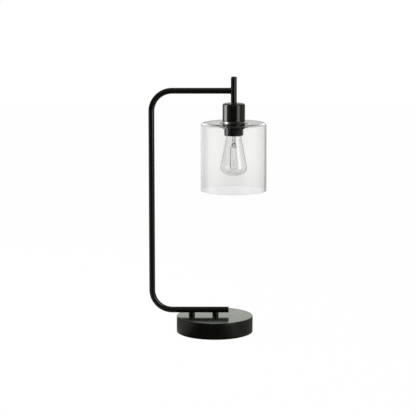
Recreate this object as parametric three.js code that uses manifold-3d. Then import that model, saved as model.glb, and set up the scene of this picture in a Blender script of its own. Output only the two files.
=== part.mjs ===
// A table lamp: a bent tube on a thick round base carries a clear glass cylinder over a filament bulb.
// Millimetres, +Z up. The origin is the centre of the base, on the surface that the lamp stands on.
// +X points to the shade, and the tube's bends all lie in the plane y = 0.

import * as THREE from 'three';
import { mergeVertices } from 'three/addons/utils/BufferGeometryUtils.js';
import Module from 'manifold-3d';

const wasm = await Module();
wasm.setup();

// Clearances
const gap = 0.3; // between pieces that touch
const overrun = 3; // how far a cutting shape runs past a face

// Base
const baseDiameter = 163.5;
const baseHeight = 35.4;
const baseEdgeRadius = 2;
const coverWall = 1.6;
const coverLift = 0.9; // the cover's rim stays off the surface
const padThickness = 1.8;
const plateThickness = 1.2;
const plateLipHeight = 5;
const weightMargin = 5.05; // between the weight's rim and the bushing's inner end
const wireRoom = 4.6; // height kept for the wires between the bottom plate and the studs

// Bushing for the mains cord, in the base's far side
const bushingDrop = 2.5; // its axis below the weight's underside
const bushingBoreDiameter = 7.4;
const bushingBodyDiameter = 9.6;
const bushingFlangeDiameter = 13;
const bushingFlangeThickness = 1.5;
const bushingBarbThickness = 1.6;
const bushingLength = 7;

// Posts under the tube, with what clamps them to the base
const postDiameter = 13.5;
const postHeight = 6.05; // visible height between base and tube
const postSpacing = 50.8;
const postMiddleX = -23.8; // halfway between the posts
const saddleDepth = 1.4; // how far a post's top rises beside the tube
const studDiameter = 8;
const studBoreDiameter = 5.6;
const studTail = 2.4; // thread below the nut
const studInTube = 1.4; // thread above the tube's inner wall
const nutAcrossFlats = 13;
const nutHeight = 5;
const washerDiameter = 22;
const washerThickness = 1.6;

// Frame tube
const tubeDiameter = 12.7;
const tubeWall = 1.2;
const bendRadius = 43.5; // at the tube's centre line
const frameHeight = 471.3; // between the centre lines of lower run and arm
const uprightX = -134;
const lowerRunEndX = 28.3;
const endCapDiameter = 13.8;
const endCapThickness = 1.6;
const endCapPlugLength = 7;

// Upright rod at the end of the arm
const shadeAxisX = 40;
const rodAboveArm = 29.8;
const rodBelowArm = 26.1;
const rodCapThickness = 2.4;
const rodCapPlugLength = 6;
const rodCapEdgeRadius = 1.4;
const pipeDiameter = 9.7;
const pipeBoreDiameter = 7.2;
const pipeInRod = 12;
const wireHoleDiameter = 6.4; // where the arm's bore opens into the rod

// Cup and lamp holder
const cupDiameter = 48;
const cupHeight = 38.3;
const cupWall = 1.2;
const cupEdgeRadius = 2;
const locknutAcrossFlats = 16;
const locknutHeight = 2.7;
const domeDiameter = 40.4;
const domeWall = 1.6;
const domeHeight = 14.2;
const terminalSpace = 5; // room for the terminals inside the dome
const coreThickness = 5;
const contactThickness = 0.8;
const contactWidth = 5;
const skirtThreadDiameter = 41.4; // over the crests
const skirtReach = 28.2; // how far the skirt shows below the cup
const skirtMouthDiameter = 35;
const skirtBoreDiameter = 32.6;
const spigotWall = 2;
const screwHeadDiameter = 6;
const screwHeadHeight = 2;
const screwShankDiameter = 2.8;
const liveScrewOffset = 9;

// Threads that turn in use
const ringPitch = 3;
const ringThreadDepth = 0.7;
const bulbPitch = 3.629;
const bulbThreadDiameter = 26.2;
const bulbThreadDepth = 0.9;
const threadClearance = 0.45;

// Glass shade and what clamps it
const shadeDiameter = 140;
const shadeHeight = 145.4;
const shadeWall = 3.2;
const shadeTopThickness = 4;
const shadeCornerRadius = 8.75;
const shadeHoleDiameter = 42.4;
const gasketDiameter = 55;
const gasketThickness = 1.4;
const ringFlangeDiameter = 59.6;
const ringFlangeThickness = 2;
const ringCollarDiameter = 46.8;
const ringHeight = 8;

// Bulb
const bulbLength = 137;
const bulbDiameter = 57;
const bulbWidestHeight = 17.7; // widest place above the bulb's lower end
const bulbGlassWall = 0.9;
const neckDiameter = 26;
const capLength = 20;
const capCollarLength = 6.5;
const capWall = 0.7;
const neckInCap = 5;
const tipHeight = 1.3;
const tipDiameter = 9.4;
const insulatorHeight = 3;
const stemDiameter = 7.6;
const stemBoreDiameter = 6;
const stemLength = 44; // from the glass neck's end down to the press
const pressHeight = 7;
const pressWidth = 10;
const pressThickness = 5;
const rodOfGlassDiameter = 2.2;
const cageRadius = 7.3;
const cageHeight = 46;
const cageTopDrop = 7; // the filament starts this far below the press
const filamentDiameter = 0.5;
const supportDiameter = 0.6;
const leadDiameter = 0.8;
const leadSpread = 4.4;

// Shares that shape the bulb's side between its widest place and its neck, and the press in its stem
const shoulderShare = 0.125;
const neckRunShare = 0.333;
const neckFlareShare = 1.09;
const pressRoundShare = 0.667;

// Wires
const wireDiameter = 2;
const wireSpread = 2.5; // between the two wires' centres
const wireTurnRadius = 4;

// Steps round a circle and along a bend
const coarseSides = 16;
const mediumSides = 24;
const fineSides = 36;
const baseSides = 44;
const tubeSides = 20;
const wireSides = 6;
const bendSteps = 7;
const rowsPerPitch = 4;

// Places worked out from the sizes
const baseRadius = baseDiameter / 2;
const tubeRadius = tubeDiameter / 2;
const tubeBoreRadius = tubeRadius - tubeWall;
const lowerRunZ = baseHeight + postHeight + tubeRadius;
const armZ = lowerRunZ + frameHeight;
const leftPostX = postMiddleX - postSpacing / 2;
const rightPostX = postMiddleX + postSpacing / 2;
const plateZ = padThickness + gap;
const studBottomZ = plateZ + plateThickness + wireRoom;
const nutTopZ = studBottomZ + studTail + nutHeight;
const washerTopZ = nutTopZ + gap + washerThickness;
const weightBottomZ = washerTopZ + gap;
const weightTopZ = baseHeight - coverWall - gap;
const bushingZ = weightBottomZ - bushingDrop;
const bushingEndY = baseRadius + gap - bushingLength;
const weightRadius = bushingEndY - weightMargin;
const studTopZ = lowerRunZ - tubeBoreRadius + studInTube;
const rodTopZ = armZ + rodAboveArm;
const rodBottomZ = armZ - rodBelowArm;
const cupTopZ = rodBottomZ - gap;
const cupBottomZ = cupTopZ - cupHeight;
const locknutTopZ = cupTopZ - cupWall - gap;
const domeTopZ = locknutTopZ - locknutHeight - gap;
const domeBottomZ = domeTopZ - domeHeight;
const coreTopZ = domeTopZ - domeWall - terminalSpace;
const coreBottomZ = coreTopZ - coreThickness;
const contactTopZ = coreBottomZ - gap;
const contactBottomZ = contactTopZ - contactThickness;
const pipeBottomZ = domeTopZ - domeWall - gap;
const pipeTopZ = rodBottomZ + pipeInRod;
const skirtBottomZ = cupBottomZ - skirtReach;
const skirtTopZ = coreBottomZ - gap;
const shoulderZ = domeBottomZ - gap;
const gasketTopZ = cupBottomZ - gap;
const shadeTopZ = gasketTopZ - gasketThickness - gap;
const shadeBottomZ = shadeTopZ - shadeHeight;
const ringTopZ = shadeTopZ - shadeTopThickness - gap;
const ringBottomZ = ringTopZ - ringHeight;
const bulbTipZ = contactBottomZ - gap;
const bulbBottomZ = bulbTipZ - bulbLength;
const bulbWidestZ = bulbBottomZ + bulbWidestHeight;
const insulatorTopZ = bulbTipZ - tipHeight - gap;
const capTopZ = insulatorTopZ - insulatorHeight;
const capBottomZ = capTopZ - capLength;
const capThreadBottomZ = capBottomZ + capCollarLength;
const shellBottomZ = capThreadBottomZ + gap;
const neckTopZ = capBottomZ + neckInCap;
const pressBottomZ = neckTopZ - stemLength - pressHeight;
const cageTopZ = pressBottomZ - cageTopDrop;
const cageBottomZ = cageTopZ - cageHeight;

// Radii that follow from the threads
const bulbCrestRadius = bulbThreadDiameter / 2;
const bulbRootRadius = bulbCrestRadius - bulbThreadDepth;
const shellRadius = bulbCrestRadius + threadClearance + capWall;
const skirtCrestRadius = skirtThreadDiameter / 2;
const skirtRootRadius = skirtCrestRadius - ringThreadDepth;
const neckEndRadius = bulbRootRadius - capWall;
const shellFlangeRadius = skirtBoreDiameter / 2 - gap;
const neutralScrewOffset = (shellRadius + shellFlangeRadius) / 2;
const domeBoreRadius = domeDiameter / 2 - domeWall;

// Colours and finishes
function finish(color, roughness, metalness) {
  return new THREE.MeshStandardMaterial({ color, roughness, metalness });
}
function clear(color, opacity) {
  return new THREE.MeshStandardMaterial({ color, roughness: 0.05, metalness: 0, transparent: true, opacity });
}
const blackPaint = finish(0x1b1d19, 0.38, 0.15);
const blackPlastic = finish(0x121310, 0.5, 0);
const blackRubber = finish(0x161714, 0.85, 0);
const castIron = finish(0x4a4a48, 0.8, 0.6);
const zincSteel = finish(0xa9abac, 0.35, 0.9);
const brass = finish(0xb99a55, 0.3, 0.95);
const capMetal = finish(0xb9b9b4, 0.3, 0.9);
const solder = finish(0xc6c8c9, 0.4, 0.9);
const darkWire = finish(0x3a3936, 0.4, 0.8);
const whiteSleeve = finish(0xe6e4de, 0.5, 0);
const blackSleeve = finish(0x1a1a1a, 0.5, 0);
const shadeGlass = clear(0xf2f5f2, 0.3);
const bulbGlass = clear(0xf4f6f3, 0.25);

// Turns a closed geometry into a solid whose faces point out.
function solidOf(geometry) {
  const bare = geometry.index ? geometry.toNonIndexed() : geometry.clone();
  bare.deleteAttribute('normal');
  bare.deleteAttribute('uv');
  const merged = mergeVertices(bare);
  const index = merged.index.array;
  const place = merged.attributes.position;
  const corners = [new THREE.Vector3(), new THREE.Vector3(), new THREE.Vector3()];
  const kept = [];
  let volume = 0;
  for (let i = 0; i < index.length; i += 3) {
    const [a, b, c] = [index[i], index[i + 1], index[i + 2]];
    if (a === b || b === c || c === a) continue;
    corners.forEach((corner, k) => corner.fromBufferAttribute(place, [a, b, c][k]));
    volume += corners[0].dot(corners[1].clone().cross(corners[2]));
    kept.push(a, b, c);
  }
  if (volume < 0) kept.reverse();
  const mesh = { numProp: 3, vertProperties: new Float32Array(place.array), triVerts: new Uint32Array(kept) };
  return new wasm.Manifold(new wasm.Mesh(mesh));
}

function geometryOf(solid) {
  const mesh = solid.getMesh();
  const geometry = new THREE.BufferGeometry();
  geometry.setAttribute('position', new THREE.BufferAttribute(mesh.vertProperties, 3));
  geometry.setIndex(new THREE.BufferAttribute(mesh.triVerts, 1));
  return geometry;
}

function cut(geometry, ...cutters) {
  let solid = solidOf(geometry);
  for (const cutter of cutters) solid = solid.subtract(solidOf(cutter));
  return geometryOf(solid);
}

function join(geometry, ...others) {
  let solid = solidOf(geometry);
  for (const other of others) solid = solid.add(solidOf(other));
  return geometryOf(solid);
}

// Turns an outline of [radius, height] points about the vertical axis.
function turned(outline, sides) {
  const points = outline.map(([radius, height]) => new THREE.Vector2(radius, height));
  return new THREE.LatheGeometry(points, sides).rotateX(Math.PI / 2);
}

// The same for a piece with a bore, whose outline closes on itself.
function turnedRing(outline, sides) {
  return turned([...outline, outline[0]], sides);
}

// A closed outline turned about the axis that may change with the angle, as a thread does. It runs up
// on the outside and down on the inside.
function spun(outlineAt, sides) {
  const places = [];
  const faces = [];
  let count = 0;
  for (let i = 0; i < sides; i += 1) {
    const angle = (2 * Math.PI * i) / sides;
    const outline = outlineAt(angle);
    count = outline.length;
    for (const [radius, height] of outline) {
      places.push(radius * Math.cos(angle), radius * Math.sin(angle), height);
    }
  }
  for (let i = 0; i < sides; i += 1) {
    const next = (i + 1) % sides;
    for (let j = 0; j < count; j += 1) {
      const after = (j + 1) % count;
      const [a, b] = [i * count + j, i * count + after];
      const [c, d] = [next * count + after, next * count + j];
      faces.push(a, c, b, a, d, c);
    }
  }
  const geometry = new THREE.BufferGeometry();
  geometry.setAttribute('position', new THREE.Float32BufferAttribute(places, 3));
  geometry.setIndex(faces);
  return geometry;
}

// Points of a right-hand thread between two heights. The thread runs out at both ends, to its own
// root on a male thread, where sign is 1, and to its widest on a female one, where sign is -1.
function threadRows(angle, bottom, top, pitch, middleRadius, depth, sign) {
  const rows = Math.max(2, Math.round(((top - bottom) / pitch) * rowsPerPitch));
  const points = [];
  for (let row = 0; row <= rows; row += 1) {
    const height = bottom + ((top - bottom) * row) / rows;
    const fromEnd = Math.min(height - bottom, top - height);
    const grown = Math.min(1, fromEnd / (pitch / 2));
    const wave = Math.cos(2 * Math.PI * (height / pitch) - angle);
    const lift = (1 + sign * wave) / 2;
    points.push([middleRadius + sign * depth * (lift * grown - 1 / 2), height]);
  }
  return points;
}

// Points on a quarter round from one direction to the next, for an outline.
function quarter(centreRadius, centreHeight, radius, startAngle, steps = 2) {
  const points = [];
  for (let i = 0; i <= steps; i += 1) {
    const angle = startAngle + (Math.PI / 2) * (i / steps);
    points.push([centreRadius + radius * Math.cos(angle), centreHeight + radius * Math.sin(angle)]);
  }
  return points;
}

// A path of straight runs whose corners are each rounded to their own radius.
class BentPath extends THREE.Curve {
  constructor(corners, radii, stepsPerBend) {
    super();
    const last = corners.length - 1;
    this.places = [corners[0]];
    this.directions = [corners[1].clone().sub(corners[0]).normalize()];
    for (let i = 1; i < last; i += 1) {
      const into = corners[i].clone().sub(corners[i - 1]).normalize();
      const out = corners[i + 1].clone().sub(corners[i]).normalize();
      const turn = into.angleTo(out);
      const radius = radii[i - 1];
      const side = out.clone().addScaledVector(into, -out.dot(into)).normalize();
      const start = corners[i].clone().addScaledVector(into, -radius * Math.tan(turn / 2));
      for (let step = 0; step <= stepsPerBend; step += 1) {
        const angle = (turn * step) / stepsPerBend;
        const forward = radius * Math.sin(angle);
        const sideways = radius * (1 - Math.cos(angle));
        this.places.push(start.clone().addScaledVector(into, forward).addScaledVector(side, sideways));
        const direction = into.clone().multiplyScalar(Math.cos(angle)).addScaledVector(side, Math.sin(angle));
        this.directions.push(direction);
      }
    }
    this.places.push(corners[last]);
    this.directions.push(corners[last].clone().sub(corners[last - 1]).normalize());
    this.steps = this.places.length - 1;
  }

  getUtoTmapping(share) {
    return share;
  }

  getPoint(share) {
    const along = share * this.steps;
    const index = Math.min(Math.floor(along), this.steps - 1);
    return this.places[index].clone().lerp(this.places[index + 1], along - index);
  }

  getTangent(share) {
    return this.directions[Math.round(share * this.steps)].clone();
  }
}

function roundSection(radius, boreRadius = 0) {
  const section = new THREE.Shape();
  section.absarc(0, 0, radius, 0, 2 * Math.PI, false);
  if (boreRadius > 0) {
    const bore = new THREE.Path();
    bore.absarc(0, 0, boreRadius, 0, 2 * Math.PI, true);
    section.holes.push(bore);
  }
  return section;
}

function bentTube(path, sides, radius, boreRadius = 0) {
  const settings = { steps: path.steps, extrudePath: path, curveSegments: sides / 2 };
  return new THREE.ExtrudeGeometry(roundSection(radius, boreRadius), settings);
}

function straightWire(from, to, diameter) {
  const path = new BentPath([from, to], [], 1);
  return bentTube(path, wireSides, diameter / 2);
}

// A cylinder along X or Z between two places, for cutting holes.
function barAlongX(fromX, toX, y, z, radius, sides = coarseSides) {
  const bar = new THREE.CylinderGeometry(radius, radius, toX - fromX, sides);
  return bar.rotateZ(Math.PI / 2).translate((fromX + toX) / 2, y, z);
}

function barAlongZ(x, y, fromZ, toZ, radius, sides = coarseSides) {
  const bar = new THREE.CylinderGeometry(radius, radius, toZ - fromZ, sides);
  return bar.rotateX(Math.PI / 2).translate(x, y, (fromZ + toZ) / 2);
}

function hexNut(acrossFlats, bore, bottom, height) {
  const shape = new THREE.Shape();
  const cornerRadius = acrossFlats / Math.sqrt(3);
  for (let i = 0; i < 6; i += 1) {
    const angle = (Math.PI / 3) * i;
    const corner = [cornerRadius * Math.cos(angle), cornerRadius * Math.sin(angle)];
    if (i === 0) shape.moveTo(...corner);
    else shape.lineTo(...corner);
  }
  const hole = new THREE.Path();
  hole.absarc(0, 0, bore / 2, 0, 2 * Math.PI, true);
  shape.holes.push(hole);
  const settings = { depth: height, bevelEnabled: false, curveSegments: coarseSides / 2 };
  return new THREE.ExtrudeGeometry(shape, settings).translate(0, 0, bottom);
}

const lamp = new THREE.Group();
const head = new THREE.Group(); // everything on the shade's axis
head.position.x = shadeAxisX;
lamp.add(head);

function add(name, geometry, material, group = lamp) {
  const mesh = new THREE.Mesh(geometry, material);
  mesh.name = name;
  group.add(mesh);
  return mesh;
}

function makeBase() {
  const innerRadius = baseRadius - coverWall;
  const innerTop = baseHeight - coverWall;
  const cover = turned([
    [0, innerTop],
    [innerRadius - coverWall, innerTop],
    [innerRadius, innerTop - coverWall],
    [innerRadius, coverLift],
    [baseRadius, coverLift],
    ...quarter(baseRadius - baseEdgeRadius, baseHeight - baseEdgeRadius, baseEdgeRadius, 0, 3),
    [0, baseHeight],
  ], baseSides);
  const holes = [leftPostX, rightPostX].map((x) => (
    barAlongZ(x, 0, innerTop - overrun, baseHeight + overrun, studDiameter / 2 + gap)
  ));
  const cordHole = barAlongZ(0, 0, 0, coverWall + overrun * 2, bushingBodyDiameter / 2 + gap)
    .rotateX(-Math.PI / 2).translate(0, innerRadius - overrun, bushingZ);
  add('base_cover', cut(cover, ...holes, cordHole), blackPaint);

  const weight = barAlongZ(0, 0, weightBottomZ, weightTopZ, weightRadius, fineSides);
  const weightHoles = [leftPostX, rightPostX].map((x) => (
    barAlongZ(x, 0, weightBottomZ - overrun, weightTopZ + overrun, studDiameter / 2 + gap)
  ));
  add('base_weight', cut(weight, ...weightHoles), castIron);

  const plateRadius = innerRadius - gap;
  add('base_plate', turned([
    [0, plateZ],
    [plateRadius, plateZ],
    [plateRadius, plateZ + plateLipHeight],
    [plateRadius - plateThickness, plateZ + plateLipHeight],
    [plateRadius - plateThickness, plateZ + plateThickness],
    [0, plateZ + plateThickness],
  ], fineSides), zincSteel);

  add('base_pad', barAlongZ(0, 0, 0, padThickness, plateRadius, fineSides), blackRubber);
}

function makeBushing() {
  const bore = bushingBoreDiameter / 2;
  const body = bushingBodyDiameter / 2;
  const flange = bushingFlangeDiameter / 2;
  const barb = body + gap + coverWall / 2;
  const sink = baseRadius - Math.sqrt(baseRadius ** 2 - flange ** 2); // how far the round cover falls away
  const innerFace = coverWall + gap + sink; // the cover's inner wall, measured in from the flange
  const bushing = turnedRing([
    [bore, -bushingLength],
    [body - gap, -bushingLength],
    [barb, -innerFace - bushingBarbThickness],
    [barb, -innerFace - gap],
    [body, -innerFace - gap],
    [body, 0],
    [flange, 0],
    [flange, bushingFlangeThickness / 2],
    [body, bushingFlangeThickness],
    [bore, bushingFlangeThickness],
  ], coarseSides);
  const mesh = add('cord_bushing', bushing, blackRubber);
  mesh.rotation.x = -Math.PI / 2;
  mesh.position.set(0, baseRadius + gap, bushingZ);
}

function makePost(side, x, boreDiameter) {
  const postBottom = baseHeight + gap;
  const postTop = lowerRunZ - tubeRadius + saddleDepth;
  const post = barAlongZ(x, 0, postBottom, postTop, postDiameter / 2, mediumSides);
  const saddle = barAlongX(x - postDiameter, x + postDiameter, 0, lowerRunZ, tubeRadius + gap, fineSides);
  const postBore = barAlongZ(x, 0, postBottom - overrun, postTop + overrun, studDiameter / 2 + gap);
  add(`${side}_post`, cut(post, saddle, postBore), blackPaint);

  const stud = boreDiameter > 0
    ? turnedRing([
      [boreDiameter / 2, studBottomZ],
      [studDiameter / 2, studBottomZ],
      [studDiameter / 2, studTopZ],
      [boreDiameter / 2, studTopZ],
    ], coarseSides)
    : barAlongZ(0, 0, studBottomZ, studTopZ, studDiameter / 2);
  add(boreDiameter > 0 ? 'wire_nipple' : 'anchor_stud', stud, zincSteel).position.x = x;

  const boreRadius = studDiameter / 2 + gap;
  const washer = turnedRing([
    [boreRadius, washerTopZ - washerThickness],
    [washerDiameter / 2, washerTopZ - washerThickness],
    [washerDiameter / 2, washerTopZ],
    [boreRadius, washerTopZ],
  ], coarseSides);
  add(`${side}_washer`, washer, zincSteel).position.x = x;
  const nut = hexNut(nutAcrossFlats, 2 * boreRadius, nutTopZ - nutHeight, nutHeight);
  add(`${side}_nut`, nut, zincSteel).position.x = x;
}

function makeFrame() {
  const corners = [
    new THREE.Vector3(lowerRunEndX, 0, lowerRunZ),
    new THREE.Vector3(uprightX, 0, lowerRunZ),
    new THREE.Vector3(uprightX, 0, armZ),
    new THREE.Vector3(shadeAxisX, 0, armZ),
  ];
  const path = new BentPath(corners, [bendRadius, bendRadius], bendSteps);
  const tube = bentTube(path, tubeSides, tubeRadius, tubeBoreRadius);
  const copeRadius = tubeRadius + gap;
  const cope = barAlongZ(shadeAxisX, 0, armZ - tubeDiameter, armZ + tubeDiameter, copeRadius, mediumSides);
  const studHoles = [leftPostX, rightPostX].map((x) => (
    barAlongZ(x, 0, lowerRunZ - tubeDiameter, lowerRunZ, studDiameter / 2 + gap)
  ));
  add('frame_tube', cut(tube, cope, ...studHoles), blackPaint);

  const plugRadius = tubeBoreRadius - gap;
  const capEdge = endCapThickness / 4;
  const cap = turned([
    [0, -endCapPlugLength],
    [plugRadius, -endCapPlugLength],
    [plugRadius, gap],
    [endCapDiameter / 2 - capEdge, gap],
    [endCapDiameter / 2, gap + capEdge],
    [endCapDiameter / 2, endCapThickness - capEdge],
    [endCapDiameter / 2 - capEdge, endCapThickness],
    [0, endCapThickness],
  ], mediumSides);
  const capMesh = add('tube_end_cap', cap, blackPaint);
  capMesh.rotation.y = Math.PI / 2;
  capMesh.position.set(lowerRunEndX, 0, lowerRunZ);
}

function makeRod() {
  const rodEndZ = rodTopZ - rodCapThickness - gap;
  const rod = turnedRing([
    [tubeBoreRadius, rodBottomZ],
    [tubeRadius, rodBottomZ],
    [tubeRadius, rodEndZ],
    [tubeBoreRadius, rodEndZ],
  ], mediumSides);
  const wireHole = barAlongX(-tubeDiameter, 0, 0, armZ, wireHoleDiameter / 2);
  add('stem_rod', cut(rod, wireHole), blackPaint, head);

  const plugRadius = tubeBoreRadius - gap;
  const capBottomZ = rodTopZ - rodCapThickness;
  add('rod_cap', turned([
    [0, rodEndZ - rodCapPlugLength],
    [plugRadius, rodEndZ - rodCapPlugLength],
    [plugRadius, capBottomZ],
    [tubeRadius, capBottomZ],
    ...quarter(tubeRadius - rodCapEdgeRadius, rodTopZ - rodCapEdgeRadius, rodCapEdgeRadius, 0),
    [0, rodTopZ],
  ], mediumSides), blackPaint, head);

  add('stem_pipe', turnedRing([
    [pipeBoreDiameter / 2, pipeBottomZ],
    [pipeDiameter / 2, pipeBottomZ],
    [pipeDiameter / 2, pipeTopZ],
    [pipeBoreDiameter / 2, pipeTopZ],
  ], coarseSides), zincSteel, head);
}

function makeCup() {
  const outer = cupDiameter / 2;
  const inner = outer - cupWall;
  const hole = pipeDiameter / 2 + gap;
  add('socket_cup', turnedRing([
    [hole, cupTopZ - cupWall],
    [inner - cupWall, cupTopZ - cupWall],
    [inner, cupTopZ - 2 * cupWall],
    [inner, cupBottomZ],
    [outer, cupBottomZ],
    ...quarter(outer - cupEdgeRadius, cupTopZ - cupEdgeRadius, cupEdgeRadius, 0),
    [hole, cupTopZ],
  ], fineSides), blackPaint, head);

  const locknut = hexNut(locknutAcrossFlats, 2 * hole, locknutTopZ - locknutHeight, locknutHeight);
  add('stem_locknut', locknut, zincSteel, head);
}

function makeHolder() {
  const pipeHole = pipeDiameter / 2 + gap;
  const domeRadius = domeDiameter / 2;
  add('holder_dome', turnedRing([
    [pipeHole, domeTopZ - domeWall],
    [domeBoreRadius, domeTopZ - domeWall],
    [domeBoreRadius, domeBottomZ],
    [domeRadius, domeBottomZ],
    [domeRadius, domeTopZ - domeWall],
    [domeRadius - domeWall, domeTopZ],
    [pipeHole, domeTopZ],
  ], mediumSides), blackPlastic, head);

  const spigotRadius = domeBoreRadius - gap;
  const boreRadius = Math.min(skirtBoreDiameter / 2, spigotRadius - spigotWall / 2);
  const middle = (skirtCrestRadius + skirtRootRadius) / 2;
  const threadTop = cupBottomZ - gap;
  add('holder_skirt', spun((angle) => [
    [skirtMouthDiameter / 2, skirtBottomZ],
    ...threadRows(angle, skirtBottomZ, threadTop, ringPitch, middle, ringThreadDepth, 1),
    [domeRadius, threadTop + gap],
    [domeRadius, shoulderZ],
    [spigotRadius, shoulderZ],
    [spigotRadius, skirtTopZ],
    [boreRadius, skirtTopZ],
    [boreRadius, shellBottomZ],
    [skirtMouthDiameter / 2, shellBottomZ - capCollarLength],
  ], mediumSides), blackPlastic, head);

  const shankRadius = screwShankDiameter / 2;
  const core = barAlongZ(0, 0, coreBottomZ, coreTopZ, domeBoreRadius - gap, mediumSides);
  const screwPlaces = [-liveScrewOffset, neutralScrewOffset];
  const shankHoles = screwPlaces.map((x) => (
    barAlongZ(x, 0, coreBottomZ - overrun, coreTopZ + overrun, shankRadius + gap, wireSides)
  ));
  add('holder_core', cut(core, ...shankHoles), blackPlastic, head);

  const shellMiddle = (bulbCrestRadius + bulbRootRadius) / 2 + threadClearance;
  const flangeBottom = contactTopZ - contactThickness;
  add('screw_shell', spun((angle) => [
    [shellRadius, shellBottomZ],
    [shellRadius, flangeBottom],
    [shellFlangeRadius, flangeBottom],
    [shellFlangeRadius, contactTopZ],
    [shellMiddle + bulbThreadDepth / 2, contactTopZ],
    ...threadRows(angle, shellBottomZ, flangeBottom, bulbPitch, shellMiddle, bulbThreadDepth, -1).reverse(),
  ], mediumSides), brass, head);

  const contactLength = liveScrewOffset + screwShankDiameter + tipDiameter / 2;
  const contact = new THREE.BoxGeometry(contactLength, contactWidth, contactThickness);
  const contactMesh = add('centre_contact', contact, brass, head);
  contactMesh.position.set(tipDiameter / 2 - contactLength / 2, 0, contactTopZ - contactThickness / 2);

  ['live', 'neutral'].forEach((name, i) => {
    const headBottom = coreTopZ + gap;
    const screw = turned([
      [0, coreBottomZ],
      [shankRadius, coreBottomZ],
      [shankRadius, headBottom],
      [screwHeadDiameter / 2, headBottom],
      [screwHeadDiameter / 2, headBottom + screwHeadHeight / 2],
      [shankRadius, headBottom + screwHeadHeight],
      [0, headBottom + screwHeadHeight],
    ], coarseSides / 2);
    const screwMesh = add(`terminal_screw_${name}`, screw, name === 'live' ? brass : zincSteel, head);
    screwMesh.position.x = screwPlaces[i];
  });
}

function makeShade() {
  const gasketBore = shadeHoleDiameter / 2;
  add('shade_gasket', turnedRing([
    [gasketBore, gasketTopZ - gasketThickness],
    [gasketDiameter / 2, gasketTopZ - gasketThickness],
    [gasketDiameter / 2, gasketTopZ],
    [gasketBore, gasketTopZ],
  ], fineSides), blackRubber, head);

  const outer = shadeDiameter / 2;
  const inner = outer - shadeWall;
  const underTop = shadeTopZ - shadeTopThickness;
  const innerCorner = Math.max(shadeCornerRadius - shadeWall, shadeWall);
  const rim = shadeWall / 2;
  const innerCurve = quarter(inner - innerCorner, underTop - innerCorner, innerCorner, 0).reverse();
  add('glass_shade', turnedRing([
    [shadeHoleDiameter / 2, underTop],
    ...innerCurve,
    [inner, shadeBottomZ + rim],
    [inner + rim / 2, shadeBottomZ],
    [outer - rim / 2, shadeBottomZ],
    [outer, shadeBottomZ + rim],
    ...quarter(outer - shadeCornerRadius, shadeTopZ - shadeCornerRadius, shadeCornerRadius, 0, 4),
    [shadeHoleDiameter / 2, shadeTopZ],
  ], fineSides), shadeGlass, head);

  const ringMiddle = (skirtCrestRadius + skirtRootRadius) / 2 + threadClearance;
  const collar = ringCollarDiameter / 2;
  const flange = ringFlangeDiameter / 2;
  add('shade_ring', spun((angle) => [
    [collar - ringFlangeThickness / 2, ringBottomZ],
    [collar, ringBottomZ + ringFlangeThickness / 2],
    [collar, ringTopZ - ringFlangeThickness],
    [flange, ringTopZ - ringFlangeThickness],
    [flange, ringTopZ],
    ...threadRows(angle, ringBottomZ, ringTopZ, ringPitch, ringMiddle, ringThreadDepth, -1).reverse(),
  ], mediumSides), blackPaint, head);
}

// The bulb's side, from its widest place up to the neck, measured inwards by a wall.
function bulbSide(inset, steps) {
  const widest = bulbDiameter / 2 - inset;
  const neck = neckDiameter / 2 - inset;
  const rise = capBottomZ - bulbWidestZ;
  const side = new THREE.CubicBezierCurve(
    new THREE.Vector2(widest, bulbWidestZ),
    new THREE.Vector2(widest, bulbWidestZ + rise * shoulderShare),
    new THREE.Vector2(neck * neckFlareShare, capBottomZ - rise * neckRunShare),
    new THREE.Vector2(neck, capBottomZ - gap),
  );
  return side.getPoints(steps).map((point) => [point.x, point.y]);
}

function bulbEnd(inset, steps) {
  const radius = bulbDiameter / 2 - inset;
  const height = bulbWidestHeight - inset;
  const points = [];
  for (let i = 0; i < steps; i += 1) {
    const angle = (Math.PI / 2) * (i / steps);
    points.push([radius * Math.sin(angle), bulbWidestZ - height * Math.cos(angle)]);
  }
  return points;
}

function makeBulb() {
  const neckInner = neckEndRadius - gap - bulbGlassWall;
  add('bulb_envelope', turned([
    ...bulbEnd(0, 4),
    ...bulbSide(0, 6),
    [neckEndRadius - gap, capBottomZ - gap],
    [neckEndRadius - gap, neckTopZ],
    [neckInner, neckTopZ],
    [neckInner, capBottomZ - bulbGlassWall],
    ...bulbSide(bulbGlassWall, 6).reverse().slice(1),
    ...bulbEnd(bulbGlassWall, 4).reverse(),
  ], mediumSides), bulbGlass, head);

  const capMiddle = (bulbCrestRadius + bulbRootRadius) / 2;
  add('bulb_cap', spun((angle) => [
    [neckEndRadius, capBottomZ],
    [bulbCrestRadius, capBottomZ],
    [bulbCrestRadius, capThreadBottomZ - gap],
    ...threadRows(angle, capThreadBottomZ, capTopZ, bulbPitch, capMiddle, bulbThreadDepth, 1),
    [neckEndRadius, capTopZ],
  ], mediumSides), capMetal, head);

  add('bulb_cap_insulator', turned([
    [0, capTopZ + gap],
    [neckEndRadius, capTopZ + gap],
    [tipDiameter / 2, insulatorTopZ],
    [0, insulatorTopZ],
  ], mediumSides), blackPlastic, head);

  add('bulb_tip_contact', turned([
    [0, bulbTipZ - tipHeight],
    [tipDiameter / 2, bulbTipZ - tipHeight],
    [tipDiameter / 2 - tipHeight / 2, bulbTipZ - tipHeight / 2],
    [tipDiameter / 4, bulbTipZ],
    [0, bulbTipZ],
  ], coarseSides), solder, head);
}

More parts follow.
